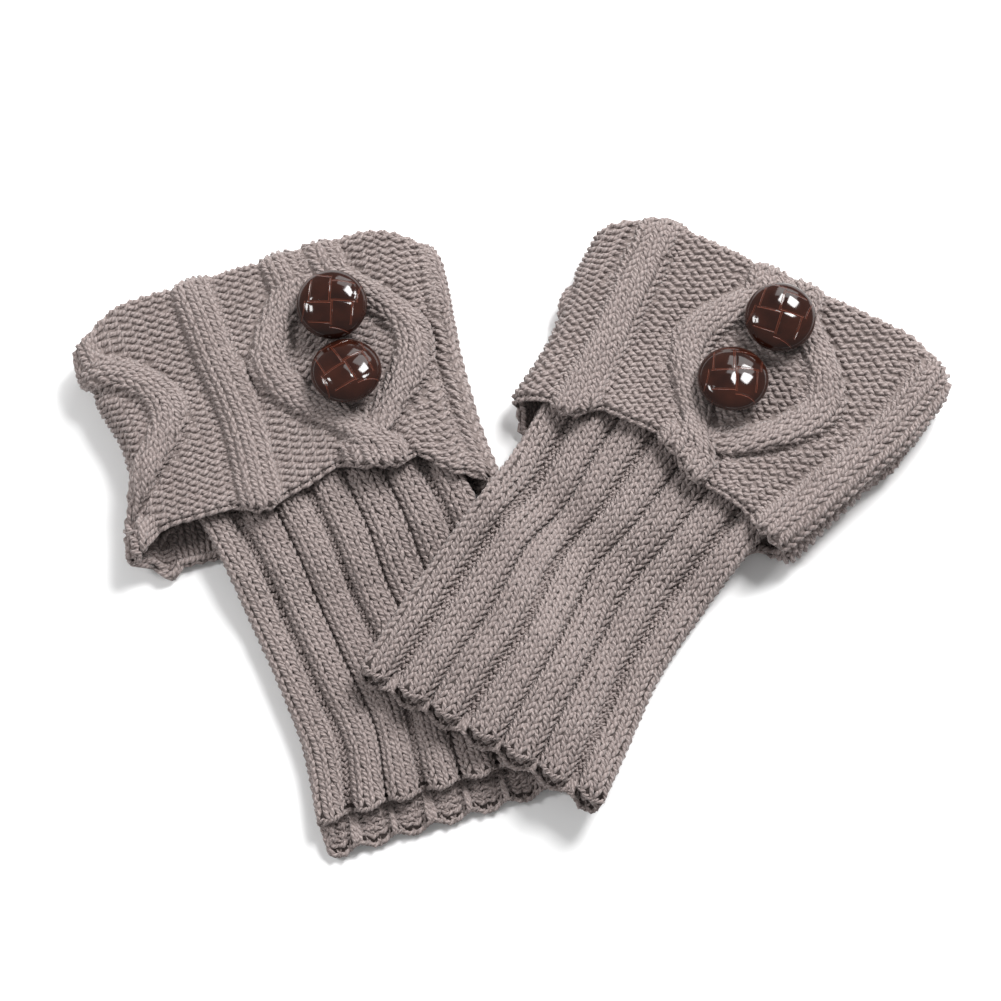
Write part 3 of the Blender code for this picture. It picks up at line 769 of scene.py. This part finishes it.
def yarn_tree():
    """Mesh edges in, a swept tube with its own map and material out."""
    tree = bpy.data.node_groups.new("yarn along a path", "GeometryNodeTree")
    for name, kind in (("Path", "Geometry"), ("Yarn Radius", "Float"), ("Sides", "Int"),
                       ("Yarn", "Material")):
        tree.interface.new_socket(name, in_out="INPUT", socket_type="NodeSocket" + kind)
    tree.interface.new_socket("Tube", in_out="OUTPUT", socket_type="NodeSocketGeometry")
    net = Nodes(tree)
    given = net.add("NodeGroupInput").outputs
    line = net.add("GeometryNodeMeshToCurve", {"Mesh": given["Path"]})
    along = net.add("GeometryNodeSplineParameter").outputs["Length"]
    path, way_along = net.captured(line.outputs["Curve"], along)
    circle = net.add("GeometryNodeCurvePrimitiveCircle", {
        "Resolution": given["Sides"], "Radius": given["Yarn Radius"]})
    round_it = net.add("GeometryNodeSplineParameter").outputs["Factor"]
    profile, way_around = net.captured(circle.outputs["Curve"], round_it)
    sweep = net.add("GeometryNodeCurveToMesh", {"Curve": path, "Profile Curve": profile})
    face_of = net.add("GeometryNodeFaceOfCorner")
    strip = net.math("MODULO", face_of.outputs["Face Index"], given["Sides"])
    last = net.math("SUBTRACT", given["Sides"], 1.5)
    closing = net.math("MULTIPLY", net.math("GREATER_THAN", strip, last),
                       net.math("LESS_THAN", way_around, 0.01))
    both = net.add("ShaderNodeCombineXYZ", {
        "X": way_along, "Y": net.math("ADD", way_around, closing)})
    store = net.add("GeometryNodeStoreNamedAttribute", data_type="FLOAT2", domain="CORNER")
    for name, value in (("Name", "yarn map"), ("Geometry", sweep.outputs["Mesh"]),
                        ("Value", both.outputs["Vector"])):
        net.join(value, store.inputs[name])
    smooth = net.add("GeometryNodeSetShadeSmooth", {"Geometry": store.outputs["Geometry"]})
    real = net.add("GeometryNodeRealizeInstances", {"Geometry": smooth.outputs["Geometry"]})
    painted = net.add("GeometryNodeSetMaterial", {
        "Geometry": real.outputs["Geometry"], "Material": given["Yarn"]})
    net.add("NodeGroupOutput", {"Tube": painted.outputs["Geometry"]})
    return tree


def set_inputs(modifier, **values):
    """Sets a nodes modifier's inputs by their sockets' identifiers."""
    for item in modifier.node_group.interface.items_tree:
        if item.item_type == "SOCKET" and item.in_out == "INPUT":
            key = item.name.replace(" ", "_").lower()
            if key in values:
                modifier[item.identifier] = values[key]


def made_plain(made):
    """The object with its nodes' result as a plain mesh, and no modifier."""
    bpy.context.view_layer.update()
    shape = made.evaluated_get(bpy.context.evaluated_depsgraph_get())
    mesh = bpy.data.meshes.new_from_object(shape)
    made.modifiers.clear()
    made.data = mesh
    mesh.name = made.name
    return made


YARN_TREE = yarn_tree()


def add_yarn(name, points, joins, radius, sides, material):
    """A piece of knitting from its strand."""
    mesh = bpy.data.meshes.new(name)
    mesh.from_pydata(points.tolist(), joins.tolist(), [])
    made = in_the_scene(name, mesh)
    modifier = made.modifiers.new("yarn", "NODES")
    modifier.node_group = YARN_TREE
    set_inputs(modifier, yarn_radius=radius * MM, sides=sides, yarn=material)
    return made_plain(made)


print("yarn tree:", len(YARN_TREE.nodes), "nodes")

# %% [markdown]
# ## The yarn's finish
# The yarn is a soft acrylic in a taupe-grey melange: pale and dark fibres carded
# together, with a few warm flecks. The fibres wind round the ply, so the paint and the
# relief follow the yarn's own map along a slant. Larger, fainter patches come from
# object coordinates. A velvety sheen stands for the fuzz that catches light at edges.


# %% Yarn materials
class Paint(Nodes):
    """A material and its nodes."""

    def __init__(self, name):
        self.material = bpy.data.materials.new(name)
        self.material.use_nodes = True
        super().__init__(self.material.node_tree)
        self.shader = self.nodes["Principled BSDF"]

    def ramp(self, value, *stops):
        """A ramp through (place, colour) stops, where a single number is a grey."""
        node = self.add("ShaderNodeValToRGB", {"Fac": value})
        band = node.color_ramp
        while len(band.elements) < len(stops):
            band.elements.new(0.5)
        for element, (place, colour) in zip(band.elements, stops):
            element.position = place
            element.color = (*(colour if isinstance(colour, tuple) else (colour,) * 3), 1.0)
        return node.outputs["Color"]

    def mix(self, share, first, second, how="MIX"):
        """Two colours mixed."""
        node = self.add("ShaderNodeMix", data_type="RGBA", blend_type=how)
        for place, value in ((0, share), (6, first), (7, second)):
            self.join(value, node.inputs[place])
        return node.outputs[2]

    def noise(self, place, scale, detail, roughness=0.5):
        """Soft noise, from 0 to 1."""
        return self.add("ShaderNodeTexNoise", {
            "Vector": place, "Scale": scale, "Detail": detail,
            "Roughness": roughness}).outputs["Fac"]

    def finish(self, colour, height, distance, strength=1.0, **constants):
        """Colour and relief joined to the shader, and its other inputs set."""
        self.join(colour, self.shader.inputs["Base Color"])
        bump = self.add("ShaderNodeBump", {
            "Height": height, "Distance": distance, "Strength": strength})
        self.join(bump.outputs["Normal"], self.shader.inputs["Normal"])
        self.set(**constants)
        return self.material

    def set(self, **constants):
        """The shader's inputs as constants, by their names with underscores."""
        for name, value in constants.items():
            self.shader.inputs[name.replace("_", " ")].default_value = value


TWIST_LENGTH = 0.0034      # one turn of the two plies
FIBRES_ROUND = 7.0         # visible fibre streaks round the yarn
STREAK_SCALE = 260.0       # fibre streaks in a metre of yarn
WARM_FLECK = (0.42, 0.31, 0.22, 1.0)


def yarn_material(name, pale, dark, depth):
    """Twisted melange yarn: streaks along the twist, flecks, painted shade in the ply's groove,
    and soft relief.
    """
    paint = Paint(name)
    where = paint.add("ShaderNodeUVMap", uv_map="yarn map").outputs["UV"]
    split = paint.add("ShaderNodeSeparateXYZ", {"Vector": where})
    turns = paint.math("DIVIDE", split.outputs["X"], TWIST_LENGTH)
    slant = paint.math("ADD", split.outputs["Y"], turns)
    ply = paint.math("SINE", paint.math("MULTIPLY", slant, 4 * math.pi))
    ply = paint.math("MULTIPLY", paint.math("ADD", ply, 1.0), 0.5)
    fibre_place = paint.add("ShaderNodeCombineXYZ", {
        "X": paint.math("MULTIPLY", slant, FIBRES_ROUND),
        "Y": paint.math("MULTIPLY", split.outputs["X"], STREAK_SCALE)})
    fibres = paint.noise(fibre_place.outputs["Vector"], 1.0, 3.0, 0.6)
    place = paint.add("ShaderNodeTexCoord").outputs["Object"]
    flecks = paint.noise(place, 1600.0, 2.0, 0.7)
    patches = paint.noise(place, 60.0, 2.0)
    tone = paint.math("MULTIPLY_ADD", fibres, 0.62, paint.math("MULTIPLY", flecks, 0.5))
    middle = tuple((a + b) / 2 for a, b in zip(pale, dark))
    colour = paint.ramp(tone, (0.32, dark), (0.54, middle), (0.76, pale))
    warm = paint.math("MULTIPLY", paint.ramp(flecks, (0.66, 0.0), (0.74, 1.0)), 0.35)
    colour = paint.mix(warm, colour, WARM_FLECK)
    shade = paint.ramp(patches, (0.3, (0.9, 0.89, 0.89)), (0.7, 1.0))
    # Painted shade: the groove between the two plies is painted darker.
    groove = paint.ramp(ply, (0.0, (0.60, 0.58, 0.57)), (0.45, 1.0))
    for darker in (shade, groove):
        colour = paint.mix(1.0, colour, darker, "MULTIPLY")
    relief = paint.math("MULTIPLY_ADD", ply, 0.6, paint.math("MULTIPLY", fibres, 0.55))
    return paint.finish(colour, relief, depth, 0.8, Roughness=0.92, Specular_IOR_Level=0.18,
                        Sheen_Weight=0.3, Sheen_Roughness=0.5,
                        Sheen_Tint=(0.95, 0.9, 0.88, 1.0))


def ground_material(name, pale, dark):
    """Yarn in the shade between loops: the same melange, darker and rougher."""
    paint = Paint(name)
    place = paint.add("ShaderNodeTexCoord").outputs["Object"]
    strands = paint.noise(place, 700.0, 4.0, 0.7)
    colour = paint.ramp(strands, (0.35, dark), (0.65, pale))
    return paint.finish(colour, strands, 0.0006, Roughness=1.0, Specular_IOR_Level=0.1)


PALE, DARK = (0.455, 0.383, 0.366), (0.15, 0.121, 0.115)
YARN_BUMP = 0.0005
yarn = yarn_material("melange yarn", PALE, DARK, YARN_BUMP)
leg_ground = ground_material("melange in deep shade", (0.12, 0.098, 0.092),
                             (0.035, 0.028, 0.026))
band_ground = ground_material("melange in shade", (0.27, 0.223, 0.210), (0.13, 0.105, 0.098))
for node, shell in shells.items():
    shell.data.materials.append(band_ground if node.endswith("_band") else leg_ground)
print("yarn finish:", len(yarn.node_tree.nodes), "nodes")

# %% [markdown]
# ## The ribbed legs
# A rib is three knit columns that stand proud, and two purl columns that sink between
# them. Elastic ribbing pulls the purl columns narrow, so the rib's five columns don't
# share its width evenly. The rows stop inside the band, where nothing shows.

# %% Knit the legs
LEG_PITCH = 2.62           # from one row to the next
LEG_HIDDEN_ABOVE = 119.0   # along, where the leg is well inside the band
LEG_YARN_RADIUS = 0.80
YARN_SIDES = 5             # corners of the yarn's round profile
LEG_FIRST_ROW = 0.75       # the lowest course's distance from the hem, in rows
CAST_ON_PAST = 0.2         # how far the cast-on edge lies past the leg's hem


def rib_columns():
    """Left edge, right edge and kind of every column round the leg."""
    widths = []
    for start, end in zip(GULLIES, GULLIES[1:] + GULLIES[:1]):
        knit = (1.0 - start - end) / 3
        widths += [start, knit, knit, knit, end]
    edges = np.concatenate(([0.0], np.cumsum(widths) / RIBS))
    return edges[:-1], edges[1:], np.tile((-1.0, 1.0, 1.0, 1.0, -1.0), RIBS)


def leg_rows(cuff):
    """Every course of the leg, from its hem upwards."""
    left, right, kind = rib_columns()
    none = np.zeros(len(kind))
    rows = []
    for row in range(int(LEG_HIDDEN_ABOVE / LEG_PITCH)):
        walked = leg_length(cuff) - (row + LEG_FIRST_ROW) * LEG_PITCH
        rows.append(Stitches(left, right, walked, kind, none, none, LEG_PITCH))
    return rows


knitted = {}
for cuff in CUFFS:
    rows = leg_rows(cuff)
    half = len(rows) // 2
    for part_name, some in (("lower", rows[:half]), ("upper", rows[half:])):
        points, joins = strand(cuff, leg_middle, leg_relief, some)
        name = f"{cuff.name}_leg_{part_name}_stitches"
        made = add_yarn(name, points, joins, LEG_YARN_RADIUS, YARN_SIDES, yarn)
        knitted.setdefault(cuff.name + "_leg", []).append(made)
        print(name, len(made.data.polygons) * 2, "triangles")
    points, joins = twisted_edge(cuff, leg_middle, leg_relief,
                                 leg_length(cuff) + CAST_ON_PAST, behind=0.0)
    knitted[cuff.name + "_leg"].append(
        add_yarn(cuff.name + "_leg_cast_on", points, joins, EDGE_RADIUS, YARN_SIDES, yarn))

# %% [markdown]
# ## The cabled bands
# The ground is reverse stockinette, purl on the showing face, so its loops' arcs make
# rows of bumps. Each rope is three knit columns in relief. Ground columns stay where
# they are and end where a rope runs over them. Rope stitches lean along their rope's
# way, and at a crossing the upper rope's stitches take the place of the lower one's.

# %% Knit the bands
BAND_PITCH = 2.6           # from one row to the next
FOLD_PITCH = 1.75          # the same along the cloth's middle round the fold
GROUND_COLUMNS = 60        # purl columns round the band, if no rope covered any
ROPE_COLUMN = 3.75         # width of a rope's knit column
BAND_YARN_RADIUS = 0.88
BAND_EDGE_RADIUS = 0.75    # of a strand at the band's hem
BOUND_OFF_SHORT = 0.7      # how far the bound-off edge lies short of the hem
BOUND_OFF_BEHIND = 1.7     # and behind the cloth, since the hem rolls under
CLEAR_OF_ROPE = 1.75       # nearest ground column to a rope's middle, in rope columns
CROSSING_CLEAR = 2.4       # nearest lower stitch to the upper rope's middle
UPPER_LIFT = 0.5           # how far the upper rope's stitches stand above the relief
FIRST_ROW = 0.35           # the last course's distance from the hem, in rows
HEM_CLOSENESS = 0.8        # how much of the fold's closeness the hem's courses have


def band_row(cuff, walked, pitch):
    """One course of the band: where each stitch lies and what it is."""
    walked_at = np.array([walked])
    column = ROPE_COLUMN / band_girth(cuff, walked_at)[0]
    here = rope_paths(cuff, walked_at)
    below = rope_paths(cuff, walked_at + 1.0)
    middles = np.array([path.middle[0] for path in here])
    slopes = np.array([a.middle[0] - b.middle[0] for a, b in zip(here, below)])
    ground_places = (np.arange(GROUND_COLUMNS) + 0.5) / GROUND_COLUMNS
    nearest = np.min(np.abs(way_round(ground_places[:, None], middles[None, :])), axis=1)
    kept = ground_places[nearest > CLEAR_OF_ROPE * column]
    stitches = [(place, -1.0, 0.0, 0.0) for place in kept]
    for number, path in enumerate(here):
        for offset in (-1, 0, 1):
            place = (middles[number] + offset * column) % 1.0
            from_partner = abs(way_round(place, middles[number - 1]))
            if path.over < 0 and from_partner < CROSSING_CLEAR * column:
                continue
            raised = UPPER_LIFT * path.crossing[0] if path.over > 0 else 0.0
            stitches.append((place, 1.0, slopes[number], raised))
    stitches.sort()
    place, kind, slope, raised = (np.array(values) for values in zip(*stitches))
    left = (place + np.roll(place, 1)) / 2
    left[0] = (place[0] + place[-1] - 1.0) / 2
    right = np.roll(left, -1)
    right[-1] = left[0] + 1.0
    return Stitches(left, right, walked, kind, slope, raised, pitch)


def band_rows(cuff):
    """Every course of the band, from its hem over the fold to its seam.

    The cloth's face is stretched round the fold, so its courses lie closer there, and
    they are pulled together where the hem rolls under.
    """
    fold = LAP + math.pi * FOLD_RADIUS / 2
    walked = band_length(cuff) - FIRST_ROW * BAND_PITCH
    rows = []
    while walked > 0.5 * BAND_PITCH:
        to_hem = band_length(cuff) - walked
        nearness = math.exp(-((walked - fold) / FOLD_FLATTENING) ** 2)
        nearness += HEM_CLOSENESS * math.exp(-((to_hem / HEM_ROLL_LENGTH) ** 2))
        pitch = BAND_PITCH + (FOLD_PITCH - BAND_PITCH) * nearness
        rows.append(band_row(cuff, walked, pitch))
        walked -= pitch
    return rows


for cuff in CUFFS:
    points, joins = strand(cuff, band_middle, band_relief, band_rows(cuff))
    name = f"{cuff.name}_band_stitches"
    made = add_yarn(name, points, joins, BAND_YARN_RADIUS, YARN_SIDES, yarn)
    points, joins = twisted_edge(cuff, band_middle, band_relief,
                                 band_length(cuff) - BOUND_OFF_SHORT, BOUND_OFF_BEHIND)
    edge = add_yarn(cuff.name + "_band_bound_off", points, joins, BAND_EDGE_RADIUS,
                    YARN_SIDES, yarn)
    knitted[cuff.name + "_band"] = [made, edge]
    print(name, len(made.data.polygons) * 2, "triangles")

# %% [markdown]
# ## The buttons
# They are moulded to look like buttons of woven leather straps: a dome crossed by wide
# straps that pass over and under each other. Each strap is a low pillow, and between
# straps runs a groove with a paler, reddish edge: partly its own wiped colour, partly a
# painted highlight. The dome is turned as a grid of rings, and its map counts strap
# widths over the dome, so the grooves bend like lines on a ball. The grooves jog a little
# at each crossing, as the straps really do.

# %% Button shapes
BUTTON_RADIUS = 11.5
BUTTON_BACK_RADIUS = 9.6
BUTTON_RIM = 2.3           # height of the rim, where the dome starts
BUTTON_HEIGHT = 7.6
SHANK_RADIUS = 2.2
SHANK_GAP = 0.45           # from the shank's end to the cloth
STRAP_WIDTH = 8.2
STRAP_PILLOW = 0.24        # how much a strap's middle stands above its edges
MAP_RADIUS = 12.88         # of the ball over which the straps are counted
BUTTON_AROUND = 96         # points round a ring
BUTTON_RINGS = 30          # rings of the dome
Button = namedtuple("Button", "name cuff across along lean shank spin shift")
BUTTONS = (
    Button("left_upper_button", LEFT, 16.8, 163.4, -4.0, 4.2, spin=-2.0, shift=(0.0, 0.0)),
    Button("left_lower_button", LEFT, 15.0, 140.3, 12.0, 2.9, spin=33.0, shift=(0.0, -0.12)),
    Button("right_upper_button", RIGHT, 17.0, 163.9, -4.0, 3.0, spin=-17.0, shift=(0.08, -0.1)),
    Button("right_lower_button", RIGHT, 13.8, 137.6, 12.0, 2.9, spin=-3.0, shift=(-0.06, -0.12)),
)
JOG = 0.05                 # half a groove's sideways step at the middle, in strap widths
SIDE_JOG = 0.10            # the same for the side grooves
SIDE_BEND = 0.35           # how fast a side groove bends to the rim
GROOVE_END = 1.0           # where the other grooves stop


def strap_map(button, x, y):
    """Strap widths across and along, over the dome's curve."""
    reach = np.sqrt(x**2 + y**2)
    over = np.arcsin(np.clip(reach / MAP_RADIUS, 0, 1)) * MAP_RADIUS
    stretch = np.where(reach > 0, over / np.maximum(reach, 1e-6), 1.0)
    spin = math.radians(button.spin)
    across = (x * math.cos(spin) + y * math.sin(spin)) * stretch / STRAP_WIDTH
    along = (y * math.cos(spin) - x * math.sin(spin)) * stretch / STRAP_WIDTH
    return across + button.shift[0], along + button.shift[1]


def pillow(across, along):
    """Height of the upper strap, 0 at its four edges and 1 over its middle."""
    over_across = np.abs(across % 1.0 - 0.5) * 2
    over_along = np.abs(along % 1.0 - 0.5) * 2
    inside = (np.abs(across) < 1.0) & (np.abs(along) < 1.0)
    return np.where(inside, (1 - over_across**4) * (1 - over_along**4), 0.5)


def button_rings(button):
    """Radius and height of every ring, from the shank's end to the top."""
    angle = np.linspace(0.0, 1.0, BUTTON_RINGS)[:-1] * math.pi / 2
    radius = BUTTON_RADIUS * np.cos(angle) ** 0.9
    height = BUTTON_RIM + (BUTTON_HEIGHT - BUTTON_RIM) * np.sin(angle)
    low = ((SHANK_RADIUS, -button.shank), (SHANK_RADIUS, -0.3), (SHANK_RADIUS + 0.4, 0.0),
           (BUTTON_BACK_RADIUS - 0.6, 0.0), (BUTTON_BACK_RADIUS, 0.12),
           (BUTTON_RADIUS - 0.6, BUTTON_RIM * 0.4), (BUTTON_RADIUS - 0.12, BUTTON_RIM * 0.75))
    return (np.concatenate(([r for r, h in low], radius)),
            np.concatenate(([h for r, h in low], height)))


def add_button(button, material):
    """A domed button on its shank, leaning as it is sewn on."""
    radius, height = button_rings(button)
    round_it = np.arange(BUTTON_AROUND) * 2 * math.pi / BUTTON_AROUND
    x = radius[:, None] * np.cos(round_it)
    y = radius[:, None] * np.sin(round_it)
    z = np.broadcast_to(height[:, None], x.shape)
    across, along = strap_map(button, x, y)
    proud = pillow(across, along) * STRAP_PILLOW * (z > BUTTON_RIM * 0.7)
    upright = np.clip(z / BUTTON_HEIGHT, 0, 1)
    wider = 1 + (proud - STRAP_PILLOW) * (1 - upright) / BUTTON_RADIUS
    x, y, z = x * wider, y * wider, z + (proud - STRAP_PILLOW) * upright
    top_map = strap_map(button, np.zeros(1), np.zeros(1))
    top = BUTTON_HEIGHT + (pillow(*top_map)[0] - 1) * STRAP_PILLOW
    points = np.stack((x, y, z), axis=-1).reshape(-1, 3)
    points = np.concatenate((points, [(0, 0, top), (0, 0, -button.shank)]))
    lean = math.radians(button.lean)
    turn = np.array(((1, 0, 0), (0, math.cos(lean), math.sin(lean)),
                     (0, -math.sin(lean), math.cos(lean))))
    height_here = read_sections(button.cuff.band, np.array([button.along]))[3][0]
    foot = height_here + SHANK_GAP + abs(math.sin(lean)) * SHANK_RADIUS
    bx, by = to_surface(button.cuff, button.across, button.along)
    raised = lift(button.cuff, np.array([bx]), np.array([by]))[0]
    base = np.array((bx, by, foot + raised + button.shank * math.cos(lean)))
    rings = len(radius)
    a, b = strip_corners(rings, BUTTON_AROUND)
    faces = np.stack((a, b, b + BUTTON_AROUND, a + BUTTON_AROUND), axis=1).tolist()
    last = (rings - 1) * BUTTON_AROUND
    for step in range(BUTTON_AROUND):
        after = (step + 1) % BUTTON_AROUND
        faces.append((last + step, last + after, rings * BUTTON_AROUND))
        faces.append((after, step, rings * BUTTON_AROUND + 1))
    made = mesh_object(button.name + "_weave", (points @ turn.T + base) * MM, faces)
    made.data.materials.append(material)
    strap = np.stack(strap_map(button, points[:, 0], points[:, 1]), axis=1)
    layer = made.data.uv_layers.new(name="strap map")
    corners = np.empty(len(made.data.loops), int)
    made.data.loops.foreach_get("vertex_index", corners)
    layer.data.foreach_set("uv", strap[corners].astype(np.float32).ravel())
    return made


# %% [markdown]
# ## The buttons' finish
# Dark brown, very glossy, with the grooves' edges in a warmer, paler brown: partly
# their own colour, wiped there, and partly a painted highlight. The grooves are drawn in
# the strap map: the distance to the nearest strap edge, made narrow. A clear coat gives
# the sharp window highlights.


# %% Button material
# Paler, reddish brown of the grooves' edges: partly their own wiped colour, partly a painted
# highlight.
GROOVE_EDGE_TINT_AND_HIGHLIGHT = (0.19, 0.052, 0.030, 1.0)


def groove_distance(paint, position, other, way):
    """Distance to the nearest groove one way.

    There is a groove through the middle and one on each side of it. Each jogs at the
    middle strap edge; where a side groove jogs outwards it also bends to the rim.
    """
    nearest = paint.math("ROUND", position)
    sum_of_both = paint.math("ADD", nearest, paint.math("FLOOR", other))
    odd = paint.math("MODULO", paint.math("ADD", sum_of_both, 100.0), 2.0)
    sign = paint.math("MULTIPLY", paint.math("SUBTRACT", odd, 0.5), 2.0 * way)
    outward = paint.math("GREATER_THAN", paint.math("MULTIPLY", sign, nearest), 0.5)
    from_middle = paint.math("ABSOLUTE", nearest)
    widened = paint.math("MULTIPLY_ADD", from_middle, SIDE_JOG - JOG, JOG)
    bent = paint.math("MULTIPLY", paint.math("MULTIPLY", other, other), SIDE_BEND)
    bent = paint.math("MULTIPLY", paint.math("MULTIPLY", bent, outward), nearest)
    groove = paint.math("ADD", nearest, paint.math("MULTIPLY", sign, widened))
    groove = paint.math("ADD", groove, bent)
    away = paint.math("ABSOLUTE", paint.math("SUBTRACT", position, groove))
    past_end = paint.math("GREATER_THAN", paint.math("ABSOLUTE", other), GROOVE_END)
    past_end = paint.math("MULTIPLY", past_end, paint.math("SUBTRACT", 1.0, outward))
    past_side = paint.math("GREATER_THAN", from_middle, 1.5)
    return paint.math("ADD", away, paint.math("ADD", past_end, past_side))


def button_material(name):
    """Glossy moulded straps with reddish groove edges, partly wiped colour and partly painted
    highlight.
    """
    paint = Paint(name)
    where = paint.add("ShaderNodeUVMap", uv_map="strap map").outputs["UV"]
    split = paint.add("ShaderNodeSeparateXYZ", {"Vector": where})
    first, second = split.outputs["X"], split.outputs["Y"]
    away = paint.math("MINIMUM", groove_distance(paint, first, second, 1.0),
                      groove_distance(paint, second, first, -1.0))
    place = paint.add("ShaderNodeTexCoord").outputs["Object"]
    wear = paint.noise(place, 420.0, 3.0)
    soft = paint.noise(place, 130.0, 2.0)
    uneven = paint.math("MULTIPLY", paint.math("SUBTRACT", wear, 0.5), 0.018)
    near = paint.math("ADD", away, uneven)
    # The bright line along each groove's edge is partly its own reddish colour and partly a
    # painted highlight.
    line = paint.ramp(near, (0.0, 0.08), (0.020, 0.10), (0.030, 1.0), (0.038, 0.7), (0.048, 0.0))
    strap = paint.ramp(soft, (0.3, (0.013, 0.0036, 0.0022)), (0.7, (0.030, 0.0080, 0.0044)))
    colour = paint.mix(paint.math("MULTIPLY", line, 0.9), strap, GROOVE_EDGE_TINT_AND_HIGHLIGHT)
    groove = paint.ramp(away, (0.0, 0.0), (0.02, 0.05), (0.05, 1.0))
    relief = paint.math("MULTIPLY_ADD", wear, 0.03, groove)
    return paint.finish(colour, relief, 0.0003, 0.9, Roughness=0.10, Specular_IOR_Level=0.28,
                        Coat_Weight=0.2, Coat_Roughness=0.08)


strap_gloss = button_material("glossy strap weave")
buttons = {}
for button in BUTTONS:
    buttons[button.name] = add_button(button, strap_gloss)
    print(button.name, len(buttons[button.name].data.polygons), "faces")

# %% [markdown]
# ## Pieces on the body
# Every piece rides on the one body and stands for its node of the imported model, which
# is hidden. Each shell goes all round the tube one way and from edge to edge the other.

for node, shell in shells.items():
    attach(shell, "root")
    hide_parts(node)
    for stitches in knitted[node]:
        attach(stitches, "root")
for node, made in buttons.items():
    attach(made, "root")
    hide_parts(node)
print("declared:", len(shells) + sum(map(len, knitted.values())) + len(buttons), "pieces")

# %% [markdown]
# ## Floor and light
# A pale floor and three soft lights: a window high on the right, a smaller one on the
# left and a far, wide one high behind the folds. Each button mirrors them.

# %% Floor and light
FLOOR_HALF = 3.0           # half the floor's side, in metres
FLOOR_DROP = 0.0004        # how far it lies under the lowest cloth
floor_mesh = bpy.data.meshes.new("floor")
floor_mesh.from_pydata([(x * FLOOR_HALF, y * FLOOR_HALF, 0)
                        for x, y in ((-1, -1), (1, -1), (1, 1), (-1, 1))], [], [(0, 1, 2, 3)])
floor = in_the_scene("floor", floor_mesh)
floor.location.z = -FLOOR_DROP
floor_paint = Paint("pale floor")
floor_paint.set(Base_Color=(0.92, 0.92, 0.92, 1.0), Roughness=0.9)
floor_mesh.materials.append(floor_paint.material)

world = bpy.data.worlds.new("studio")
bpy.context.scene.world = world
world.use_nodes = True
air = world.node_tree.nodes["Background"].inputs
air["Color"].default_value = (1.0, 1.0, 1.0, 1.0)
air["Strength"].default_value = 0.36
bpy.context.scene.view_settings.view_transform = "Standard"

SoftLight = namedtuple("SoftLight", "name at size power")   # metres and watts
SOFT_LIGHTS = (
    SoftLight("right window", at=(0.42, 0.56, 0.80), size=(0.36, 0.36), power=13.6),
    SoftLight("left window", at=(-0.74, 0.10, 0.74), size=(0.22, 0.22), power=4.0),
    SoftLight("far fill", at=(1.0, 2.6, 1.9), size=(1.8, 1.8), power=44.0),
)
for soft in SOFT_LIGHTS:
    light = bpy.data.lights.new(soft.name, "AREA")
    light.shape = "RECTANGLE"
    light.size, light.size_y = soft.size
    light.energy = soft.power
    lamp = in_the_scene(soft.name, light)
    lamp.location = soft.at
    lamp.rotation_euler = (Vector((0, 0, 0)) - Vector(soft.at)).to_track_quat("-Z", "Y").to_euler()
print("lights:", [soft.name for soft in SOFT_LIGHTS])

# %% [markdown]
# ## Camera
# The camera looks down at the pair from nearly overhead, a little from the hems' side.

# %% Camera
LOOK_AT = Vector((-0.0030, 0.0104, 0.0))
CAMERA_DISTANCE = 0.722
CAMERA_TILT = math.radians(14.0)     # away from straight down
VIEW_WIDTH = 0.3253                  # what the picture spans at that distance
camera_data = bpy.data.cameras.new("camera")
camera_data.sensor_width = 36.0
camera_data.lens = camera_data.sensor_width * CAMERA_DISTANCE / VIEW_WIDTH
camera = in_the_scene("camera", camera_data)
camera.location = LOOK_AT + CAMERA_DISTANCE * Vector((0.0, -math.sin(CAMERA_TILT),
                                                      math.cos(CAMERA_TILT)))
camera.rotation_euler = (CAMERA_TILT, 0.0, 0.0)
bpy.context.scene.camera = camera
print("camera lens", round(camera_data.lens, 1), "mm")
